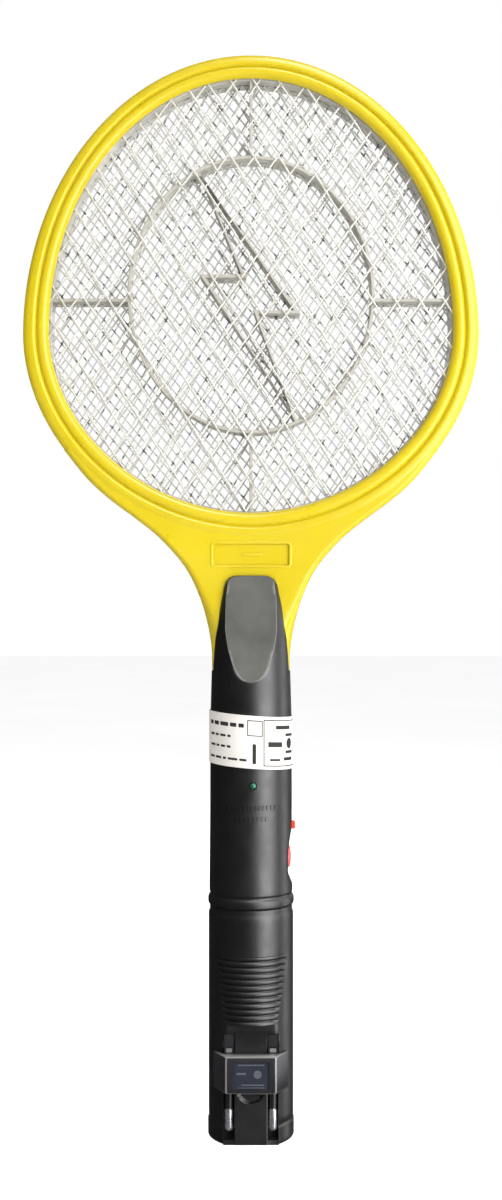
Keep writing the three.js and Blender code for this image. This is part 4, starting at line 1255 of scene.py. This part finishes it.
def wrapped(name, outline, thickness, lift, material, step=0.03):
    """A printed shape, given as (x along the band, height), wrapped onto the label."""
    mesh = bpy.data.meshes.new(name)
    work = bmesh.new()
    work.faces.new([work.verts.new((u, v, 0)) for u, v in outline])
    reach = max(abs(u) for u, _ in outline)
    pitch = step * LABEL["radius"]
    for k in range(-int(reach / pitch) - 1, int(reach / pitch) + 2):
        bmesh.ops.bisect_plane(work, geom=[*work.verts, *work.edges, *work.faces], plane_co=(k * pitch, 0, 0),
                               plane_no=(1, 0, 0))
    made = bmesh.ops.extrude_face_region(work, geom=list(work.faces))
    for vertex in [g for g in made["geom"] if isinstance(g, bmesh.types.BMVert)]:
        vertex.co.z = thickness
    for vertex in work.verts:
        u, v, w = vertex.co
        vertex.co = Vector(band_point(u / LABEL["radius"], v, lift + w)) * MM
    bmesh.ops.recalc_face_normals(work, faces=work.faces)
    work.to_mesh(mesh)
    work.free()
    return finish(link(name, mesh), material, angle=30)


def frame_strips(name, width, height, line, centre):
    """Four thin strips as the outline of a printed box."""
    x, z = centre
    strips = [(x, z + height / 2, width + line, line), (x, z - height / 2, width + line, line),
              (x - width / 2, z, line, height), (x + width / 2, z, line, height)]
    for i, (cx, cz, w, h) in enumerate(strips):
        ink(f"{name}_{i}", rounded_rectangle(w, h, line * 0.3, 1), (cx, cz))


def ink(name, outline, centre):
    wrapped(name, [(x + centre[0], z + centre[1]) for x, z in outline], 0.02, 0.25, MATERIALS["ink"])


def label():
    steps = 180
    rings = []
    half = LABEL["height"] / 2
    section = [(0.0, -half), (0.2, -half), (0.25, -half + 0.06), (0.25, half - 0.06), (0.2, half),
               (0.0, half)]
    for i in range(steps):
        angle = 2 * math.pi * i / steps
        rings.append([band_point(angle, h, lift) for lift, h in section])
    finish(loft("label_band", rings, closed=True), MATERIALS["label"], stands_for=["wrap_label"])

    chance = random.Random(11)
    rows = [("line_a", 6.8, 1.7, -22.6, -3.0), ("line_b", 1.8, 1.0, -22.0, -9.0),
            ("line_c", -2.8, 1.0, -22.0, -7.8), ("line_d", -7.9, 1.0, -22.6, -1.9)]
    for name, z, height, first, last in rows:
        x, i = first, 0
        while x < last - 1:
            width = min(chance.uniform(1.6, 4.6), last - x)
            ink(f"{name}_{i}", rounded_rectangle(width, height, 0.3, 2), (x + width / 2, z))
            x += width + 0.9
            i += 1
    frame_strips("square", 6.2, 6.4, 0.4, (1.7, 6.0))
    ink("label_bar", rounded_rectangle(1.5, 8.6, 0.5, 3), (1.4, -5.0))
    frame_strips("box", 22, 19.6, 0.42, (16.6, 0))
    for i, (x, z, w, h) in enumerate([(16.0, 6.8, 9.4, 1.6), (11.2, -0.6, 7.4, 2.2), (11.0, -7.2, 5.4, 0.9),
                                      (19.5, -6.8, 7.0, 1.4), (20.4, 3.6, 6.5, 1.2), (20.4, -3.8, 6.5, 1.2)]):
        ink(f"block_{i}", rounded_rectangle(w, h, 0.25, 2), (x, z))
    ink("box_disc", circle(2.3, 32), (20.2, -0.1))


label()

# ---------------------------------------------------------------- spacers and meshes


def swept_bar(name, path, y0, y1, closed=False, half=SPACER["bar"] / 2):
    """A deep thin bar along a front-view path, with its long edges rounded off."""
    ease = 0.22
    section = [(-half + ease, y0), (half - ease, y0), (half, y0 + ease), (half, y1 - ease), (half - ease, y1),
               (-half + ease, y1), (-half, y1 - ease), (-half, y0 + ease)]
    rings = []
    count = len(path)
    for i, point in enumerate(path):
        before = Vector(path[i - 1] if closed or i else point)
        after = Vector(path[(i + 1) % count] if closed or i < count - 1 else point)
        along = (after - before).normalized()
        side = Vector((along.y, -along.x))
        rings.append([(point[0] + side.x * u, y, point[1] + side.y * u) for u, y in section])
    return loft(name, rings, closed)


def spacer(name, y0, y1, node):
    """Hoop, oval ring, four spokes and a zigzag outline that keep two meshes apart."""
    hoop = swept_bar(name, oval_outline(0.4, 240), y0, y1, True, 1.0)
    ring = [(RING["half_width"] * math.cos(t), RING["z"] + RING["rise"] * math.sin(t))
            for t in np.linspace(0, 2 * math.pi, 128, endpoint=False)]
    parts = [swept_bar("ring", ring, y0, y1, True)]
    side, spoke_z = HEAD["half_width"] - 0.6, RING["spoke_z"]
    top, bottom = HEAD["widest_z"] + HEAD["rise"], HEAD["widest_z"] - HEAD["drop"]
    spokes = [[(-side, spoke_z), (-RING["half_width"], spoke_z)],
              [(RING["half_width"], spoke_z), (side, spoke_z)],
              [(0, RING["z"] + RING["rise"]), (0, top)], [(0, bottom), (0, RING["z"] - RING["rise"])],
              [BOLT[0], (-26, 420.6)], [BOLT[3], (20, 312.4)]]
    y_in = (y0 + 0.03, y1 - 0.03)
    parts += [swept_bar("spoke", spoke, *y_in) for spoke in spokes]
    bolt = outline_band(BOLT, SPACER["bar"] / 2)
    outer, inner = (prism("bolt", line, *y) for line, y in ((bolt[0], (y0, y1)), (bolt[1], (y0 - 1, y1 + 1))))
    parts.append(cut(outer, inner))
    join(hoop, *parts)
    return finish(hoop, MATERIALS["spacer"], stands_for=[node])


def outline_band(outline, half):
    """An outline grown and shrunk by half, with mitred corners."""
    area = sum(a[0] * b[1] - b[0] * a[1] for a, b in zip(outline, outline[1:] + outline[:1]))
    turn = 1 if area > 0 else -1
    lines = ([], [])
    count = len(outline)
    for i in range(count):
        here = Vector(outline[i])
        into = (here - Vector(outline[i - 1])).normalized()
        away = (Vector(outline[(i + 1) % count]) - here).normalized()
        normals = [Vector((d.y, -d.x)) * turn for d in (into, away)]
        mitre = (normals[0] + normals[1]) / max(0.35, 1 + normals[0].dot(normals[1]))
        for line, sign in zip(lines, (1, -1)):
            line.append(tuple(here + mitre * half * sign))
    return lines


def inside_oval(x, z, reach):
    """True where a front-view point lies inside the head's oval grown by reach."""
    height = (HEAD["rise"] if z > HEAD["widest_z"] else HEAD["drop"]) + reach
    return (x / (HEAD["half_width"] + reach)) ** 2 + ((z - HEAD["widest_z"]) / height) ** 2 < 1


def lattice(name, node, y, pitch, lean, tilt, thick, wide, wander, seed, material):
    """Two families of flattened strands crossing at a slant, clipped to the mesh's oval.

    pitch is the distance between strands, lean their angle from level, tilt the turn of the whole
    lattice, and wander how far the strands stray from straight.
    """
    chance = random.Random(seed)
    vertices, faces = [], []
    centre = Vector((0, HEAD["widest_z"] + 15))
    sides = 6
    reach = 125
    for family in (1, -1):
        angle = math.radians(family * lean + tilt)
        along = Vector((math.cos(angle), math.sin(angle)))
        across = Vector((-along.y, along.x))
        number = int(reach / pitch)
        for k in range(-number, number + 1):
            offset = k * pitch + chance.uniform(-1, 1) * wander
            drift, phase = chance.uniform(-1, 1) * wander * 0.5, chance.uniform(0, 9)
            step = max(2.0, pitch * 0.5)
            ring_before = None
            for i in range(int(2 * reach / step)):
                s = -reach + i * step
                bend = wander * 0.55 * math.sin(s * 0.055 + phase) + drift * s / reach
                x, z = centre + along * s + across * (offset + bend)
                if not inside_oval(x, z, MESH_REACH):
                    ring_before = None
                    continue
                level = y + family * thick * 0.32 + 0.1 * thick * math.sin(s * 2.1 + phase)
                twist = family * 0.5 + 0.35 * math.sin(s * 0.9 + phase * 3)
                ring = len(vertices)
                for j in range(sides):
                    t = 2 * math.pi * j / sides
                    u, v = wide / 2 * math.cos(t), thick / 2 * math.sin(t)
                    u, v = (u * math.cos(twist) - v * math.sin(twist),
                            u * math.sin(twist) + v * math.cos(twist))
                    vertices.append((x + across.x * u, level + v, z + across.y * u))
                if ring_before is None:
                    faces.append(tuple(range(ring, ring + sides)))
                else:
                    for j in range(sides):
                        n = (j + 1) % sides
                        faces.append((ring_before + j, ring_before + n, ring + n, ring + j))
                ring_before = ring
                if not inside_oval(*(centre + along * (s + step) + across * (offset + bend)), MESH_REACH):
                    faces.append(tuple(range(ring, ring + sides)))
    obj = solid(name, vertices, faces)
    return finish(obj, material, stands_for=[node], angle=60)


def meshes():
    wide = dict(pitch=8.75, lean=55.6, tilt=-1.5, thick=0.55, wide=0.85, wander=0.5)
    lattice("front_lattice", "front_mesh", -MESH_Y, seed=3, material=MATERIALS["outer_wire"], **wide)
    lattice("rear_lattice", "rear_mesh", MESH_Y, seed=8, material=MATERIALS["outer_wire"], **wide)
    lattice("fine_lattice", "centre_mesh", 0.0, pitch=3.45, lean=54.5, tilt=5, thick=0.4, wide=0.75,
            wander=0.3, seed=5, material=MATERIALS["inner_wire"])
    spacer("spacer_front", -SPACER["far"], -SPACER["near"], "front_spacer")
    spacer("spacer_rear", SPACER["near"], SPACER["far"], "rear_spacer")


meshes()

# ---------------------------------------------------------------- screws


def screw_mesh():
    """Pan-head screw about the origin: head towards +Y, shank with a thread towards -Y."""
    head = [(0, 1.35), (0.9, 1.32), (1.5, 1.15), (1.9, 0.8), (2.1, 0.3), (2.1, 0.0), (1.1, 0.0)]
    thread = []
    for i in range(22):
        thread.append((1.1 if i % 2 else 0.8, -1.0 - i * 0.5))
    profile = [*head, (1.1, -0.8), *thread, (0.4, -12.4), (0, -12.8)]
    screw = lathe("screw", profile, (0, 0, 0), "Y", 24)
    for width, height in ((2.4, 0.5), (0.5, 2.4)):
        slot = [(u * width / 2, v * height / 2) for u, v in ((-1, -1), (1, -1), (1, 1), (-1, 1))]
        cut(screw, prism("slot", slot, 0.6, 3))
    mesh = screw.data
    bpy.data.objects.remove(screw)
    return mesh


def screws():
    template = screw_mesh()
    names = sorted(node for node in NODES if "_screw_" in node)
    chance = random.Random(2)
    for node in names:
        low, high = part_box(node)
        seat_y = high.y / MM - SCREW_HEAD
        turn = Matrix.Rotation(chance.uniform(0, math.pi / 2), 4, "Y")
        place = Matrix.Translation(((low.x + high.x) / 2, seat_y * MM, (low.z + high.z) / 2))
        mesh = template.copy()
        mesh.transform(place @ turn)
        finish(link(f"{node}_head", mesh), MATERIALS["steel"], stands_for=[node])


screws()

# ---------------------------------------------------------------- floor and light


def soft_light(name, place, aim, size, watts, colour=(1, 1, 1)):
    data = bpy.data.lights.new(name, "AREA")
    data.shape = "RECTANGLE"
    data.size, data.size_y = size
    data.energy = watts
    data.color = colour
    light = bpy.data.objects.new(name, data)
    light.location = place
    light.rotation_euler = (Vector(aim) - Vector(place)).to_track_quat("-Z", "Y").to_euler()
    bpy.context.scene.collection.objects.link(light)
    return light


def studio():
    mesh = bpy.data.meshes.new("floor")
    mesh.from_pydata([(-6, -6, 0), (6, -6, 0), (6, 6, 0), (-6, 6, 0)], [], [(0, 1, 2, 3)])
    floor = link("floor", mesh)
    floor.location.z = FLOOR_Z
    paper = Nodes("floor_paper")
    paper.colour(paper.ramp(paper.noise(3, 2), [(0.3, (0.90, 0.90, 0.90)), (0.7, (0.92, 0.92, 0.92))]))
    paper.set(Roughness=0.9)
    floor.data.materials.append(paper.material)
    floor.visible_glossy = False

    world = bpy.data.worlds.new("studio")
    bpy.context.scene.world = world
    world.use_nodes = True
    nodes, links = world.node_tree.nodes, world.node_tree.links
    seen = nodes["Background"]
    seen.inputs["Color"].default_value = (1, 1, 1, 1)
    seen.inputs["Strength"].default_value = 1.0
    glow = nodes.new("ShaderNodeBackground")
    glow.inputs["Color"].default_value = (1.0, 0.99, 0.97, 1)
    glow.inputs["Strength"].default_value = 0.05
    path = nodes.new("ShaderNodeLightPath")
    mix = nodes.new("ShaderNodeMixShader")
    links.new(path.outputs["Is Camera Ray"], mix.inputs["Fac"])
    links.new(glow.outputs["Background"], mix.inputs[1])
    links.new(seen.outputs["Background"], mix.inputs[2])
    links.new(mix.outputs["Shader"], nodes["World Output"].inputs["Surface"])

    soft_light("key", (0.78, -0.8, 0.32), (0, 0, 0.2), (0.85, 1.5), 25)
    soft_light("side", (1.0, 0.3, 0.28), (0, 0, 0.2), (0.3, 1.4), 5)
    top = soft_light("top", (0.25, -0.5, 1.25), (0, 0, 0.1), (0.5, 0.3), 7)
    top.visible_diffuse = False  # it only makes highlights on the shells
    soft_light("rear", (0.2, 1.0, 0.6), (0, 0, 0.2), (0.7, 0.9), 7)
    overhead = bpy.data.lights.new("overhead", "SUN")
    overhead.energy = 3.3
    overhead.angle = math.radians(120)
    sky = bpy.data.objects.new("overhead", overhead)
    sky.visible_glossy = False
    bpy.context.scene.collection.objects.link(sky)


FLOOR_Z = -0.022
studio()
